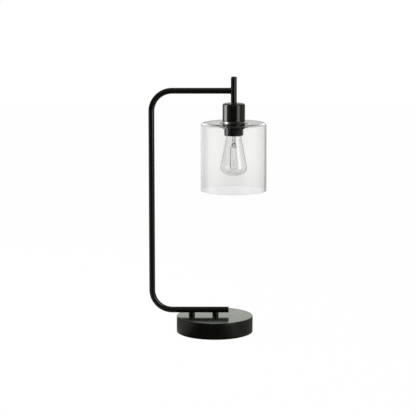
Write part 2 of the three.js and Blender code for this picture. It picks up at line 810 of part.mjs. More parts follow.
// The glass stem: a flared tube in the neck, pressed flat at its lower end, with a thin glass rod below.
function makeStem() {
  const outer = stemDiameter / 2;
  const bore = stemBoreDiameter / 2;
  const flareRadius = neckEndRadius - 2 * gap - bulbGlassWall;
  const pressTopZ = pressBottomZ + pressHeight;
  const flareHeight = stemDiameter;
  const tube = turnedRing([
    [bore, pressTopZ - gap],
    [outer, pressTopZ - gap],
    [outer, neckTopZ - flareHeight],
    [flareRadius, neckTopZ - bulbGlassWall],
    [flareRadius, neckTopZ],
    [bore, neckTopZ - flareHeight + bulbGlassWall],
  ], mediumSides / 2);
  const press = new THREE.SphereGeometry(1, wireSides * 2, wireSides)
    .scale(pressWidth / 2, pressThickness / 2, pressHeight * pressRoundShare)
    .translate(0, 0, pressBottomZ + pressHeight / 2);
  const rodBottom = cageBottomZ - rodOfGlassDiameter;
  const rod = barAlongZ(0, 0, rodBottom, pressBottomZ + pressHeight / 2, rodOfGlassDiameter / 2, wireSides);
  const channelRadius = leadDiameter / 2 + gap;
  const channels = [-leadSpread / 2, leadSpread / 2].map((x) => (
    barAlongZ(x, 0, pressBottomZ - overrun, pressTopZ + overrun, channelRadius, wireSides)
  ));
  add('bulb_stem', cut(join(tube, press, rod), ...channels), bulbGlass, head);
}

function cagePoint(turnShare, height) {
  const angle = 2 * Math.PI * turnShare;
  return new THREE.Vector3(cageRadius * Math.cos(angle), cageRadius * Math.sin(angle), height);
}

// Where the filament's ends and hooks stand round the axis, as shares of a turn
const leadShares = [0.46, 0.04];
const topHookShares = [0.66, 0.86];
const bottomHookShares = [0.56, 0.76, 0.96];

function makeFilament() {
  const corners = [
    cagePoint(leadShares[0], cageTopZ),
    cagePoint(bottomHookShares[0], cageBottomZ),
    cagePoint(topHookShares[0], cageTopZ),
    cagePoint(bottomHookShares[1], cageBottomZ),
    cagePoint(topHookShares[1], cageTopZ),
    cagePoint(bottomHookShares[2], cageBottomZ),
    cagePoint(leadShares[1], cageTopZ),
  ];
  const hookRadius = supportDiameter;
  const path = new BentPath(corners, corners.slice(2).map(() => hookRadius / 2), 4);
  add('bulb_filament', bentTube(path, wireSides, filamentDiameter / 2), darkWire, head);

  leadShares.forEach((share, i) => {
    const side = i === 0 ? -1 : 1;
    const x = (side * leadSpread) / 2;
    const end = cagePoint(share, cageTopZ + filamentDiameter / 2 + gap + leadDiameter / 2);
    const leadPath = new BentPath([
      new THREE.Vector3(x, 0, neckTopZ + neckInCap),
      new THREE.Vector3(x, 0, pressBottomZ - leadDiameter * 2),
      end,
    ], [leadDiameter], 4);
    const name = i === 0 ? 'bulb_lead_left' : 'bulb_lead_right';
    add(name, bentTube(leadPath, wireSides, leadDiameter / 2), darkWire, head);
  });

  const supports = [
    ...topHookShares.map((share) => [share, cageTopZ - hookRadius]),
    ...bottomHookShares.map((share) => [share, cageBottomZ + hookRadius]),
  ];
  supports.forEach(([share, height], i) => {
    const outward = cagePoint(share, 0).normalize();
    const from = outward.clone().multiplyScalar(rodOfGlassDiameter / 2 + gap).setZ(height);
    const to = outward.clone().multiplyScalar(cageRadius - hookRadius - gap).setZ(height);
    add(`bulb_support_${i + 1}`, straightWire(from, to, supportDiameter), darkWire, head);
  });
}

// Two insulated wires from the bushing through the hollow stud, the tube and the rod to the terminals.
function makeWires() {
  const wireEndZ = coreTopZ + gap + screwHeadHeight - wireDiameter / 4;
  const underNutZ = studBottomZ - wireRoom / 2;
  const straightY = weightRadius - wireTurnRadius;
  const diagonal = new THREE.Vector2(leftPostX, -straightY).normalize();
  ['live', 'neutral'].forEach((name, i) => {
    const side = i === 0 ? -1 : 1;
    const aside = (side * wireSpread) / 2;
    const screwX = name === 'live' ? -liveScrewOffset : neutralScrewOffset;
    const wireEndX = screwX - Math.sign(screwX) * (screwHeadDiameter / 2 + gap);
    const corners = [
      new THREE.Vector3(-aside, bushingEndY - gap, bushingZ),
      new THREE.Vector3(-aside, straightY, bushingZ),
      new THREE.Vector3(leftPostX + aside * diagonal.y, -aside * diagonal.x, underNutZ),
      new THREE.Vector3(leftPostX, aside, lowerRunZ),
      new THREE.Vector3(uprightX, aside, lowerRunZ),
      new THREE.Vector3(uprightX, aside, armZ),
      new THREE.Vector3(shadeAxisX, aside, armZ),
      new THREE.Vector3(shadeAxisX, aside, wireEndZ),
      new THREE.Vector3(shadeAxisX + wireEndX, aside, wireEndZ),
    ];
    const tight = wireDiameter;
    const radii = [2 * wireTurnRadius, tight, wireTurnRadius, bendRadius, bendRadius, wireTurnRadius, tight];
    const path = new BentPath(corners, radii, 5);
    const sleeve = name === 'live' ? blackSleeve : whiteSleeve;
    add(`wire_${name}`, bentTube(path, wireSides, wireDiameter / 2), sleeve);
  });
}

makeBase();
makeBushing();
makePost('left', leftPostX, studBoreDiameter);
makePost('right', rightPostX, 0);
makeFrame();
makeRod();
makeCup();
makeHolder();
makeShade();
makeBulb();
makeStem();
makeFilament();
makeWires();

export default lamp;
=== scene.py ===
"""Dresses the packed table lamp: finer pieces, materials, studio and camera, laid out as a Blender add-on."""

import math

import bpy
from bpy.props import FloatProperty, FloatVectorProperty, IntProperty, PointerProperty
from bpy.types import Operator, Panel, PropertyGroup
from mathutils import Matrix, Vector
from mathutils.geometry import interpolate_bezier


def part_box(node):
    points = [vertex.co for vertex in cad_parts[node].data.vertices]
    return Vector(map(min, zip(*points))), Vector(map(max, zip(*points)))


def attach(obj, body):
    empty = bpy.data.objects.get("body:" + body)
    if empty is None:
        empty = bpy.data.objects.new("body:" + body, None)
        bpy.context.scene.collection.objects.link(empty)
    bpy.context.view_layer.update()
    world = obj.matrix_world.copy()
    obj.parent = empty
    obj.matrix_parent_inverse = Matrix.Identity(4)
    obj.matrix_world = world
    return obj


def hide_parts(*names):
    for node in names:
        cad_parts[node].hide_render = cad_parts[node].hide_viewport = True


bl_info = {
    "name": "Glass Table Lamp",
    "version": (1, 0, 0),
    "blender": (4, 5, 0),
    "location": "3D View > Sidebar > Lamp",
    "description": "Builds the pieces, finishes and studio of a table lamp with a clear glass cylinder",
    "category": "Object",
}

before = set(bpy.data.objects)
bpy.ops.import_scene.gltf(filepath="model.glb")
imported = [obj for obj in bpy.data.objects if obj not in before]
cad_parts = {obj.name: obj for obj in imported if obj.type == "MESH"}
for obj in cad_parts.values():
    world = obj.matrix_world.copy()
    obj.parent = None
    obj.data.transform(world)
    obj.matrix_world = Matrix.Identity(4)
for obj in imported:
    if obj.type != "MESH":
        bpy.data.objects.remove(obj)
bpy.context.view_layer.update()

MM = 0.001
FULL_TURN = 2 * math.pi
QUARTER_TURN = math.pi / 2
SEAM = 0.002 * MM  # points closer than this become one


def low(node):
    """The lowest corner of a CAD node's box."""
    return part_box(node)[0]


def high(node):
    """The highest corner of a CAD node's box."""
    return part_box(node)[1]


def middle(node):
    """The centre of a CAD node's box."""
    return (low(node) + high(node)) / 2


def axis_of(node):
    """The upright axis through a CAD node's middle, at height zero."""
    centre = middle(node)
    return Vector((centre.x, centre.y, 0))


def round_box(node):
    """A round CAD node's radius, the heights of its lower and upper end, and its upright axis."""
    box_low, box_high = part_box(node)
    return (box_high.y - box_low.y) / 2, box_low.z, box_high.z, axis_of(node)


def washer_top(sizes):
    """The height of the washer's upper side, on the spacer ring that lies on the glass."""
    return low("shade_gasket").z + sizes.spacer_height + sizes.washer_height


def linear(hex_colour):
    """An sRGB hex colour as the linear values that shaders take."""
    digits = hex_colour.lstrip("#")
    values = [int(digits[i:i + 2], 16) / 255 for i in (0, 2, 4)]
    return tuple(v / 12.92 if v <= 0.04045 else ((v + 0.055) / 1.055) ** 2.4 for v in values)


# Sizes and colours that a user may change

def length(name, description, millimetres):
    """A length in metres, stated here in millimetres."""
    return FloatProperty(
        name=name, description=description, default=millimetres * MM, min=0.0, precision=5,
        subtype="DISTANCE", unit="LENGTH",
    )


def colour(name, description, hex_colour):
    """A colour stated as sRGB hex."""
    return FloatVectorProperty(
        name=name, description=description, default=linear(hex_colour), min=0.0, max=1.0, size=3,
        subtype="COLOR",
    )


class LampBaseSizes(PropertyGroup):
    """Sizes of the base and of what stands on it."""
    edge_radius: length("Edge radius", "Rounding of the base's upper edge", 2.0)
    cover_wall: length("Cover wall", "Thickness of the base's pressed cover", 1.6)
    hem_radius: length("Hem radius", "Rounding of the cover's lower rim", 0.5)
    pad_edge: length("Pad edge", "Rounding of the soft pad under the base", 0.5)
    stud_hole: length("Stud hole", "Diameter of the holes for the two studs", 8.6)
    cord_hole: length("Cord hole", "Diameter of the hole for the cord's bushing", 10.2024)
    cord_bore: length("Cord bore", "Bore of the bushing", 7.4)
    post_edge: length("Post edge", "Rounding of a post's lower edge", 0.4)
    saddle_room: length("Saddle room", "Clearance between a post's saddle and the tube", 0.15)


class LampFrameSizes(PropertyGroup):
    """Sizes of the bent tube, the rod and their caps."""
    tube_wall: length("Tube wall", "Wall of the bent tube and of the upright rod", 1.2)
    bend_radius: length("Bend radius", "Radius of the tube's bends at its centre line", 43.5)
    cap_lip: length("Cap lip edge", "Rounding of the end cap's lip", 0.4)
    rod_cap_edge: length("Rod cap edge", "Rounding on top of the rod", 1.4)
    cap_plug: length("Cap plug", "How far the end cap reaches into the tube", 7.0)
    rod_plug: length("Rod plug", "How far the rod's cap reaches into the rod", 6.0)
    cap_room: length("Cap room", "Clearance of the caps in their bores and at their lips", 0.3)
    wire_hole: length("Wire hole", "Diameter of the hole from the arm into the rod", 6.4)
    cope_room: length("Cope room", "Clearance between the arm's end and the rod", 0.15)
    weld_width: length("Weld width", "How far the weld bead reaches along the arm", 1.3)
    weld_height: length("Weld height", "How far the weld bead stands above the arm", 0.7)


class LampHolderSizes(PropertyGroup):
    """Sizes of the cup, the lamp holder and the shade ring."""
    cup_wall: length("Cup wall", "Thickness of the socket cup", 1.2)
    cup_edge: length("Cup edge", "Rounding of the cup's upper edge", 4.3)
    pipe_hole: length("Pipe hole", "Diameter of the hole in the cup's top", 10.3)
    cup_gap: length("Cup gap", "Gap between the cup and the washer", 0.1)
    mouth: length("Mouth", "Inner diameter of the skirt at its lower end", 35.0)
    bore: length("Bore", "Inner diameter of the skirt above its mouth", 32.6)
    mouth_depth: length("Mouth depth", "How far up the wide mouth reaches", 24.7)
    skirt_lip: length("Skirt lip", "How far the skirt reaches below its thread", 1.6)
    thread_root: length("Thread root", "Diameter of the skirt under its thread", 40.0)
    thread_pitch: length("Thread pitch", "Rise of the shade ring's thread in one turn", 3.0)
    thread_depth: length("Thread depth", "Height of the skirt's thread", 0.65)
    ring_flange: length("Ring flange", "Thickness of the shade ring's flange", 3.0)
    ring_collar: length("Ring collar", "Outer diameter of the shade ring's collar", 46.8)
    ring_bore: length("Ring bore", "Inner diameter of the shade ring between its threads", 42.3)
    collar: length("Collar", "Diameter of the plated collar that centres the glass", 42.2)
    grip_depth: length("Grip depth", "Depth of the grip flutes in the ring's collar", 0.5)
    grips: IntProperty(name="Grips", description="Number of grip flutes round the ring", default=24, min=3)


class LampGlassSizes(PropertyGroup):
    """Sizes of the glass cylinder, the plated ring on it and its washer."""
    wall: length("Wall", "Thickness of the glass cylinder's wall", 3.2)
    top: length("Top", "Thickness of the glass cylinder's top", 3.2)
    corner: length("Corner radius", "Outer rounding between the top and the wall", 8.75)
    hole: length("Hole", "Diameter of the hole in the glass's top", 42.4)
    rim: length("Rim radius", "Rounding of the fire-polished lower rim", 1.4)
    spacer: length("Spacer", "Outer diameter of the plated spacer ring on the glass", 44.2)
    spacer_height: length("Spacer height", "Thickness of the spacer ring", 1.9)
    washer: length("Washer", "Outer diameter of the washer under the cup", 49.0)
    washer_height: length("Washer height", "Thickness of the washer", 0.6)
    washer_edge: length("Washer edge", "Rounding of the washer's edges", 0.25)


class LampBulbSizes(PropertyGroup):
    """Sizes of the filament bulb."""
    widest: length("Widest height", "Height of the widest place above the lower end", 17.7)
    wall: length("Wall", "Thickness of the bulb's glass", 0.9)
    neck: length("Neck", "Diameter of the glass just below the metal cap", 26.0)
    stem: length("Stem", "Diameter of the glass stem in the neck", 7.6)
    stem_bore: length("Stem bore", "Bore of the glass stem", 6.0)
    press_gap: length("Press gap", "Gap between the filament and the press above it", 3.2)
    press_height: length("Press height", "Height of the flat press of the stem", 7.0)
    glass_rod: length("Glass rod", "Diameter of the glass rod under the press", 2.2)
    rod_button: length("Rod button", "Diameter of the rod's buttons that hold the hooks", 3.4)
    cage: length("Cage radius", "Radius of the filament's cage", 7.3)
    filament: length("Filament", "Diameter of the filament", 0.25)
    lead: length("Lead", "Diameter of the leads", 0.9)
    hook: length("Hook", "Diameter of the hooks that hold the filament", 0.35)


class LampColours(PropertyGroup):
    """Colours of the finishes."""
    powder_coat: colour("Powder coat", "Satin black powder coat on the metal", "#090c05")
    phenolic: colour("Phenolic", "Black phenolic of the lamp holder", "#070706")
    rubber: colour("Rubber", "Washer, bushing and pad", "#10100e")
    glass: colour("Glass", "Clear soda-lime glass", "#ffffff")
    filament: colour("Filament", "Drawn wire of the filament and its hooks", "#8a8782")
    lead: colour("Leads", "Oxidised wire of the bulb's leads", "#1c1b18")


# Making meshes with Blender's own operators

def only(obj):
    """Selects one object and makes it active."""
    bpy.ops.object.select_all(action="DESELECT")
    obj.select_set(True)
    bpy.context.view_layer.objects.active = obj


def named(name):
    """Names the object that an operator has just added."""
    obj = bpy.context.object
    obj.name = obj.data.name = name
    return obj


def edit(obj, select="SELECT"):
    """Opens one object in edit mode with all or nothing selected."""
    only(obj)
    bpy.ops.object.mode_set(mode="EDIT")
    bpy.ops.mesh.select_all(action=select)


def leave_edit():
    """Goes back to object mode."""
    bpy.ops.object.mode_set(mode="OBJECT")


def settle(obj, angle=30):
    """Puts the origin at zero, closes seams, turns faces outwards and smooths what isn't an edge."""
    only(obj)
    bpy.ops.object.transform_apply()
    edit(obj)
    bpy.ops.mesh.remove_doubles(threshold=SEAM)
    bpy.ops.mesh.normals_make_consistent(inside=False)
    leave_edit()
    bpy.ops.object.shade_smooth_by_angle(angle=math.radians(angle))
    return modified(obj, "WEIGHTED_NORMAL", mode="FACE_AREA", keep_sharp=True)


def finished(obj, finish, body, slot, *nodes):
    """Gives a settled piece its finish and its body, and hides the CAD nodes that it stands for."""
    obj.data.materials.clear()
    obj.data.materials.append(FINISHES[finish])
    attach(obj, body)
    if nodes:
        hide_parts(*nodes)


def modified(obj, kind, **settings):
    """Adds a modifier with its settings and applies it."""
    only(obj)
    modifier = obj.modifiers.new(kind.title(), kind)
    for key, value in settings.items():
        setattr(modifier, key, value)
    bpy.ops.object.modifier_apply(modifier=modifier.name)
    return obj


def combined(obj, other, operation):
    """Cuts other out of obj, joins it on or keeps what they share, and deletes it."""
    modified(obj, "BOOLEAN", object=other, operation=operation, solver="EXACT")
    bpy.data.objects.remove(other)


def bar(name, centre, radius, span, axis="Z", sides=64):
    """A straight round bar along an axis, for cutting and joining."""
    turns = {"X": (0, QUARTER_TURN, 0), "Y": (QUARTER_TURN, 0, 0), "Z": (0, 0, 0)}
    bpy.ops.mesh.primitive_cylinder_add(
        vertices=sides, radius=radius, depth=span, location=centre, rotation=turns[axis])
    obj = named(name)
    bpy.ops.object.transform_apply()
    return obj


def bored(obj, *hole):
    """Cuts a round bar, given by what bar takes, out of obj."""
    combined(obj, bar("hole", *hole), "DIFFERENCE")


def arc_points(before, here, after, radius, steps=6):
    """Points of the arc that rounds the corner at here."""
    into = (here - before).normalized()
    out = (after - here).normalized()
    turn = into.angle(out)
    side = (out - into * into.dot(out)).normalized()
    start = here - into * radius * math.tan(turn / 2)
    return [
        start + into * radius * math.sin(turn * k / steps) + side * radius * (1 - math.cos(turn * k / steps))
        for k in range(steps + 1)
    ]


def rounded(corners, steps):
    """An outline of (radius, height) corners. A third number rounds that corner to that radius."""
    points = []
    places = [Vector(corner[:2]) for corner in corners]
    for before, here, after, corner in zip(places[-1:] + places, places, places[1:] + places, corners):
        points += arc_points(before, here, after, corner[2], steps) if len(corner) > 2 else [here]
    return points


def drawn(name, places):
    """A line of edges: one vertex, extruded from place to place. It is left open in edit mode."""
    bpy.ops.mesh.primitive_plane_add(size=MM, location=places[0])
    obj = named(name)
    bpy.ops.object.mode_set(mode="EDIT")
    bpy.ops.mesh.merge(type="CENTER")
    for start, end in zip(places, places[1:]):
        bpy.ops.mesh.extrude_vertices_move(TRANSFORM_OT_translate={"value": end - start})
    bpy.ops.mesh.select_all(action="SELECT")
    return obj


def turned(name, corners, centre=(0, 0, 0), axis="Z", sides=96, steps=5):
    """A turned piece, whose outline of (radius, height, rounding) corners is drawn and spun about the axis.
    An outline that begins off the axis is closed, as a ring's."""
    out = {"X": Vector((0, 0, 1)), "Y": Vector((1, 0, 0)), "Z": Vector((1, 0, 0))}[axis]
    up = {"X": Vector((1, 0, 0)), "Y": Vector((0, 1, 0)), "Z": Vector((0, 0, 1))}[axis]
    centre = Vector(centre)
    places = [centre + out * point.x + up * point.y for point in rounded(corners, steps)]
    if corners[0][0] > 0:
        places.append(places[0])
    obj = drawn(name, places)
    bpy.ops.mesh.spin(steps=sides, angle=FULL_TURN, center=centre, axis=up)
    leave_edit()
    return settle(obj)


def wire(name, places, radius):
    """A thin round wire, whose path is drawn, made a curve and given its thickness."""
    drawn(name, places)
    leave_edit()
    bpy.ops.object.convert(target="CURVE")
    obj = bpy.context.object
    obj.data.bevel_depth = radius
    obj.data.bevel_resolution = 2
    obj.data.use_fill_caps = True
    bpy.ops.object.convert(target="MESH")
    return settle(named(name), 40)


def copied(obj, name, move=(0, 0, 0), turn=0.0, pivot=(0, 0, 0)):
    """A copy with its own mesh, moved and then turned clockwise, seen from above, about an upright pivot."""
    only(obj)
    bpy.ops.object.duplicate()
    other = named(name)
    bpy.ops.transform.translate(value=move)
    if turn:
        bpy.ops.transform.rotate(value=turn, orient_axis="Z", center_override=pivot)
    return settle(other)


def helix_ridge(centre, root, crest, bottom, top, pitch, phase, steps=64):
    """The ridge of a right-hand thread: a drawn profile that a Screw modifier winds about the axis."""
    root_half, crest_half = 1.0 * MM, 0.3 * MM
    turns = int((top - bottom - 2 * root_half) / pitch)
    start = bottom + root_half
    profile = [
        (root, -root_half), (crest, -crest_half), (crest, crest_half), (root, root_half), (root, -root_half),
    ]
    obj = drawn("ridge", [Vector((radius, 0, start + height)) for radius, height in profile])
    bpy.ops.mesh.remove_doubles(threshold=SEAM)
    leave_edit()
    bpy.ops.object.transform_apply()
    obj.rotation_euler.z = FULL_TURN * ((start / pitch - phase) % 1)
    obj.location = (centre[0], centre[1], 0)
    modified(
        obj, "SCREW", axis="Z", angle=FULL_TURN, screw_offset=pitch, iterations=turns, steps=steps,
        render_steps=steps, use_merge_vertices=True, use_normal_calculate=True)
    edit(obj)
    bpy.ops.mesh.select_mode(type="VERT")
    bpy.ops.mesh.select_all(action="DESELECT")
    bpy.ops.mesh.select_non_manifold()
    bpy.ops.mesh.fill_holes(sides=len(profile))
    leave_edit()
    return settle(obj)


# Materials

def add_node(tree, kind, inputs=None, **settings):
    """Adds a shader node with its settings. An input takes a value, a socket or a node's first output."""
    node = tree.nodes.new(f"ShaderNode{kind}")
    for key, value in settings.items():
        setattr(node, key, value)
    for key, value in (inputs or {}).items():
        if isinstance(value, bpy.types.Node):
            value = value.outputs[0]
        if isinstance(value, bpy.types.NodeSocket):
            tree.links.new(value, node.inputs[key])
        else:
            node.inputs[key].default_value = value
    return node


FINISHES = {}


def new_finish(key, name):
    """Adds an empty node material to the finishes. Returns its tree and its patterns' Object coordinates."""
    FINISHES[key] = bpy.data.materials.new(name)
    FINISHES[key].use_nodes = True
    tree = FINISHES[key].node_tree
    tree.nodes.clear()
    return tree, add_node(tree, "TexCoord").outputs["Object"]


def per_size(millimetres):
    """Texture scale at which a noise's features are about this big."""
    return 1 / (millimetres * MM)


# Grains across one cloud, and the span of a noise over which the sheen goes from low to high
CLOUD_GRAINS = 24
NOISE_LOW, NOISE_HIGH = 0.3, 0.7
GLASS_IOR = 1.52
GLASS_EDGE = "#dfe3d6"


def grained(key, name, base, spread, roughness, grain, bump, ior=1.5, metallic=0.0, stretch=(1, 1, 1)):
    """A surface with a fine grain that shades its colour, its roughness and its relief.

    spread is the share by which the colour varies, roughness is (low, high), grain is the feature size
    in mm and bump its relief in mm. Clouds many grains across shade the colour and the sheen."""
    tree, place = new_finish(key, name)
    place = add_node(tree, "Mapping", {"Vector": place, "Scale": stretch})
    cloud = add_node(tree, "TexNoise", {
        "Vector": place, "Scale": per_size(grain * CLOUD_GRAINS), "Detail": 3.0})
    fine = add_node(tree, "TexNoise", {"Vector": place, "Scale": per_size(grain), "Detail": 2.0})
    dark = [channel * (1 - spread) for channel in base]
    pale = [min(1.0, channel * (1 + spread)) for channel in base]
    tone = add_node(tree, "Mix", {"Factor": cloud, 6: (*dark, 1), 7: (*pale, 1)}, data_type="RGBA").outputs[2]
    sheen = add_node(tree, "MapRange", {
        "Value": cloud, "From Min": NOISE_LOW, "From Max": NOISE_HIGH,
        "To Min": roughness[0], "To Max": roughness[1]})
    relief = add_node(tree, "Bump", {"Height": fine, "Strength": 1.0, "Distance": bump * MM})
    shader = add_node(tree, "BsdfPrincipled", {
        "Base Color": tone, "Roughness": sheen, "Normal": relief, "Metallic": metallic, "IOR": ior})
    add_node(tree, "OutputMaterial", {"Surface": shader})


def clear_glass(key, name, base, waves, relief, density):
    """Clear glass. waves and relief, in mm, are the slow ripple that forming leaves, density its tint."""
    tree, place = new_finish(key, name)
    ripple = add_node(tree, "TexNoise", {"Vector": place, "Scale": per_size(waves), "Detail": 1.0})
    bend = add_node(tree, "Bump", {"Height": ripple, "Strength": 1.0, "Distance": relief * MM})
    shader = add_node(tree, "BsdfPrincipled", {
        "Base Color": (*base, 1), "Roughness": 0.0, "IOR": GLASS_IOR, "Transmission Weight": 1.0,
        "Normal": bend})
    output = add_node(tree, "OutputMaterial", {"Surface": shader})
    if density > 0:
        depth = add_node(tree, "VolumeAbsorption", {"Color": (*linear(GLASS_EDGE), 1), "Density": density})
        tree.links.new(depth.outputs[0], output.inputs["Volume"])


def make_finishes(colours):
    """Makes every material of the lamp once."""
    # Polyester powder coat, satin: deep black, even sheen, a faint orange peel in the highlights
    grained("powder_coat", "satin black powder coat", colours.powder_coat, 0.12, (0.17, 0.21), 1.6, 0.001)
    # Compression-moulded phenolic: hard black with a slight gloss and faint flow clouds
    grained("phenolic", "moulded black phenolic", colours.phenolic, 0.2, (0.22, 0.34), 0.6, 0.003)
    # EPDM rubber: matte black with a fine dusty grain
    grained("rubber", "black rubber", colours.rubber, 0.15, (0.65, 0.8), 0.35, 0.02, ior=1.52)
    # Sand-cast iron: grey and grainy, drawn at 1.2 mm so that the sand texture shows
    grained("cast_iron", "sand-cast iron", linear("#4d4c49"), 0.25, (0.6, 0.8), 1.2, 0.12, metallic=0.7)
    # Zinc-plated steel: cool grey, softly streaked by the plating bath
    grained(
        "zinc", "zinc-plated steel", linear("#b4b7b8"), 0.08, (0.25, 0.4), 0.5, 0.004, metallic=1.0,
        stretch=(1, 1, 3))
    # Satin nickel plate on the thin collar: soft grey with one broad highlight
    grained("collar", "satin nickel plate", linear("#b4b2ac"), 0.05, (0.32, 0.4), 0.4, 0.002, metallic=1.0)
    # Rolled brass: warm yellow with a fine rolling grain
    grained(
        "brass", "rolled brass", linear("#c5a35c"), 0.08, (0.2, 0.32), 0.4, 0.004, metallic=1.0,
        stretch=(4, 1, 1))
    # Drawn aluminium of the bulb's cap: bright grey with a soft sheen
    grained("cap", "drawn aluminium", linear("#c3c3bd"), 0.06, (0.22, 0.34), 0.4, 0.004, metallic=1.0)
    # Tin solder: dull silver, slightly lumpy
    grained("solder", "tin solder", linear("#c8cacb"), 0.1, (0.35, 0.5), 0.8, 0.05, metallic=1.0)
    # Oxidised nickel-iron: nearly black, softly shiny
    grained("lead", "oxidised lead wire", colours.lead, 0.15, (0.35, 0.5), 0.3, 0.004, metallic=0.6)
    # Drawn tungsten: thin grey wire, softly shiny
    grained("filament", "drawn tungsten wire", colours.filament, 0.15, (0.3, 0.45), 0.3, 0.004, metallic=1.0)
    # PVC sleeve: smooth, slightly waxy
    grained("black_sleeve", "black PVC sleeve", linear("#1a1a19"), 0.1, (0.4, 0.5), 0.5, 0.004)
    grained("white_sleeve", "white PVC sleeve", linear("#e4e2db"), 0.04, (0.4, 0.5), 0.5, 0.004)
    # Blown soda-lime glass: clear, a slow ripple in its reflections, grey-green where it is seen edge on
    clear_glass("shade_glass", "blown soda-lime glass", colours.glass, 45, 0.02, 20.0)
    # Thin bulb glass
    clear_glass("bulb_glass", "thin bulb glass", colours.glass, 25, 0.01, 0.0)


CAD_FINISHES = {
    "cast_iron": ("base_weight",),
    "zinc": (
        "base_plate", "wire_nipple", "anchor_stud", "left_washer", "right_washer", "left_nut", "right_nut",
        "stem_pipe", "stem_locknut", "terminal_screw_neutral"),
    "phenolic": ("holder_dome", "holder_core", "bulb_cap_insulator"),
    "brass": ("screw_shell", "centre_contact", "terminal_screw_live"),
    "cap": ("bulb_cap",),
    "solder": ("bulb_tip_contact",),
    "black_sleeve": ("wire_live",),
    "white_sleeve": ("wire_neutral",),
}


# Pieces of the stand

class LAMP_OT_finishes(Operator):
    """Make the materials and give the hidden fittings theirs"""
    bl_idname = "lamp.finishes"
    bl_label = "Finishes"

    def execute(self, context):
        make_finishes(context.scene.lamp_colours)
        for finish, nodes in CAD_FINISHES.items():
            for node in nodes:
                for material_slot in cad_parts[node].material_slots:
                    material_slot.material = FINISHES[finish]
        return {"FINISHED"}


class LAMP_OT_base(Operator):
    """Make the round cover of the base and the soft pad under it"""
    bl_idname = "lamp.base"
    bl_label = "Base"

    def execute(self, context):
        sizes = context.scene.lamp_base
        box_low, box_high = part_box("base_cover")
        radius, top, bottom = box_high.x, box_high.z, box_low.z
        inner, under = radius - sizes.cover_wall, top - sizes.cover_wall
        cover = turned("cover", [
            (0, top), (radius, top, sizes.edge_radius), (radius, bottom, sizes.hem_radius),
            (inner, bottom, sizes.hem_radius), (inner, under, sizes.edge_radius / 2), (0, under),
        ], sides=160)
        for node in ("left_post", "right_post"):
            place = (middle(node).x, 0, (top + under) / 2)
            bored(cover, place, sizes.stud_hole / 2, top - bottom)
        place = (0, radius, middle("cord_bushing").z)
        bored(cover, place, sizes.cord_hole / 2, 4 * sizes.cover_wall, "Y")
        finished(settle(cover), "powder_coat", "stand", "black_paint", "base_cover")

        radius, _, top, _ = round_box("base_pad")
        pad = turned("pad", [
            (0, top), (radius, top, sizes.pad_edge), (radius, 0, sizes.pad_edge), (0, 0),
        ], sides=128)
        finished(pad, "rubber", "stand", "black_rubber", "base_pad")
        return {"FINISHED"}


class LAMP_OT_bushing(Operator):
    """Make the rubber bushing that the mains cord passes through"""
    bl_idname = "lamp.bushing"
    bl_label = "Cord bushing"

    def execute(self, context):
        box_low, box_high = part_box("cord_bushing")
        centre = middle("cord_bushing")
        flange = (box_high.x - box_low.x) / 2
        bore = context.scene.lamp_base.cord_bore / 2
        body, barb = 4.8 * MM, 5.9 * MM
        barb_high = high("base_cover").x - 2.3 * MM
        barb_low = barb_high - 1.6 * MM
        outside = box_high.y
        flange_low, flange_high = outside - 1.5 * MM, outside - 0.5 * MM
        bushing = turned("bushing", [
            (bore, box_low.y, 0.25 * MM), (body - 0.3 * MM, box_low.y, 0.4 * MM), (barb, barb_low, 0.3 * MM),
            (barb, barb_high, 0.2 * MM), (body, barb_high), (body, flange_low), (flange, flange_low, 0.3 * MM),
            (flange, flange_high, 0.4 * MM), (body, outside, 0.6 * MM), (bore, outside, 0.4 * MM),
        ], (centre.x, 0, centre.z), "Y", sides=64)
        finished(bushing, "rubber", "stand", "black_rubber", "cord_bushing")
        return {"FINISHED"}


class LAMP_OT_posts(Operator):
    """Make one saddled post and copy it to the other stud"""
    bl_idname = "lamp.posts"
    bl_label = "Posts"

    def execute(self, context):
        sizes = context.scene.lamp_base
        left, right = middle("left_post"), middle("right_post")
        radius, bottom, top, axis = round_box("left_post")
        hole, tube = sizes.stud_hole / 2, high("frame_tube").y
        post = turned("left_post_turned", [
            (hole, bottom), (radius, bottom, sizes.post_edge), (radius, top), (hole, top),
        ], axis, sides=64)
        place = (left.x, 0, low("frame_tube").z + tube)
        bored(post, place, tube + sizes.saddle_room, 4 * radius, "X", 96)
        settle(post)
        other = copied(post, "right_post_turned", (right.x - left.x, 0, 0))
        for obj, node in ((post, "left_post"), (other, "right_post")):
            finished(obj, "powder_coat", "stand", "black_paint", node)
        return {"FINISHED"}


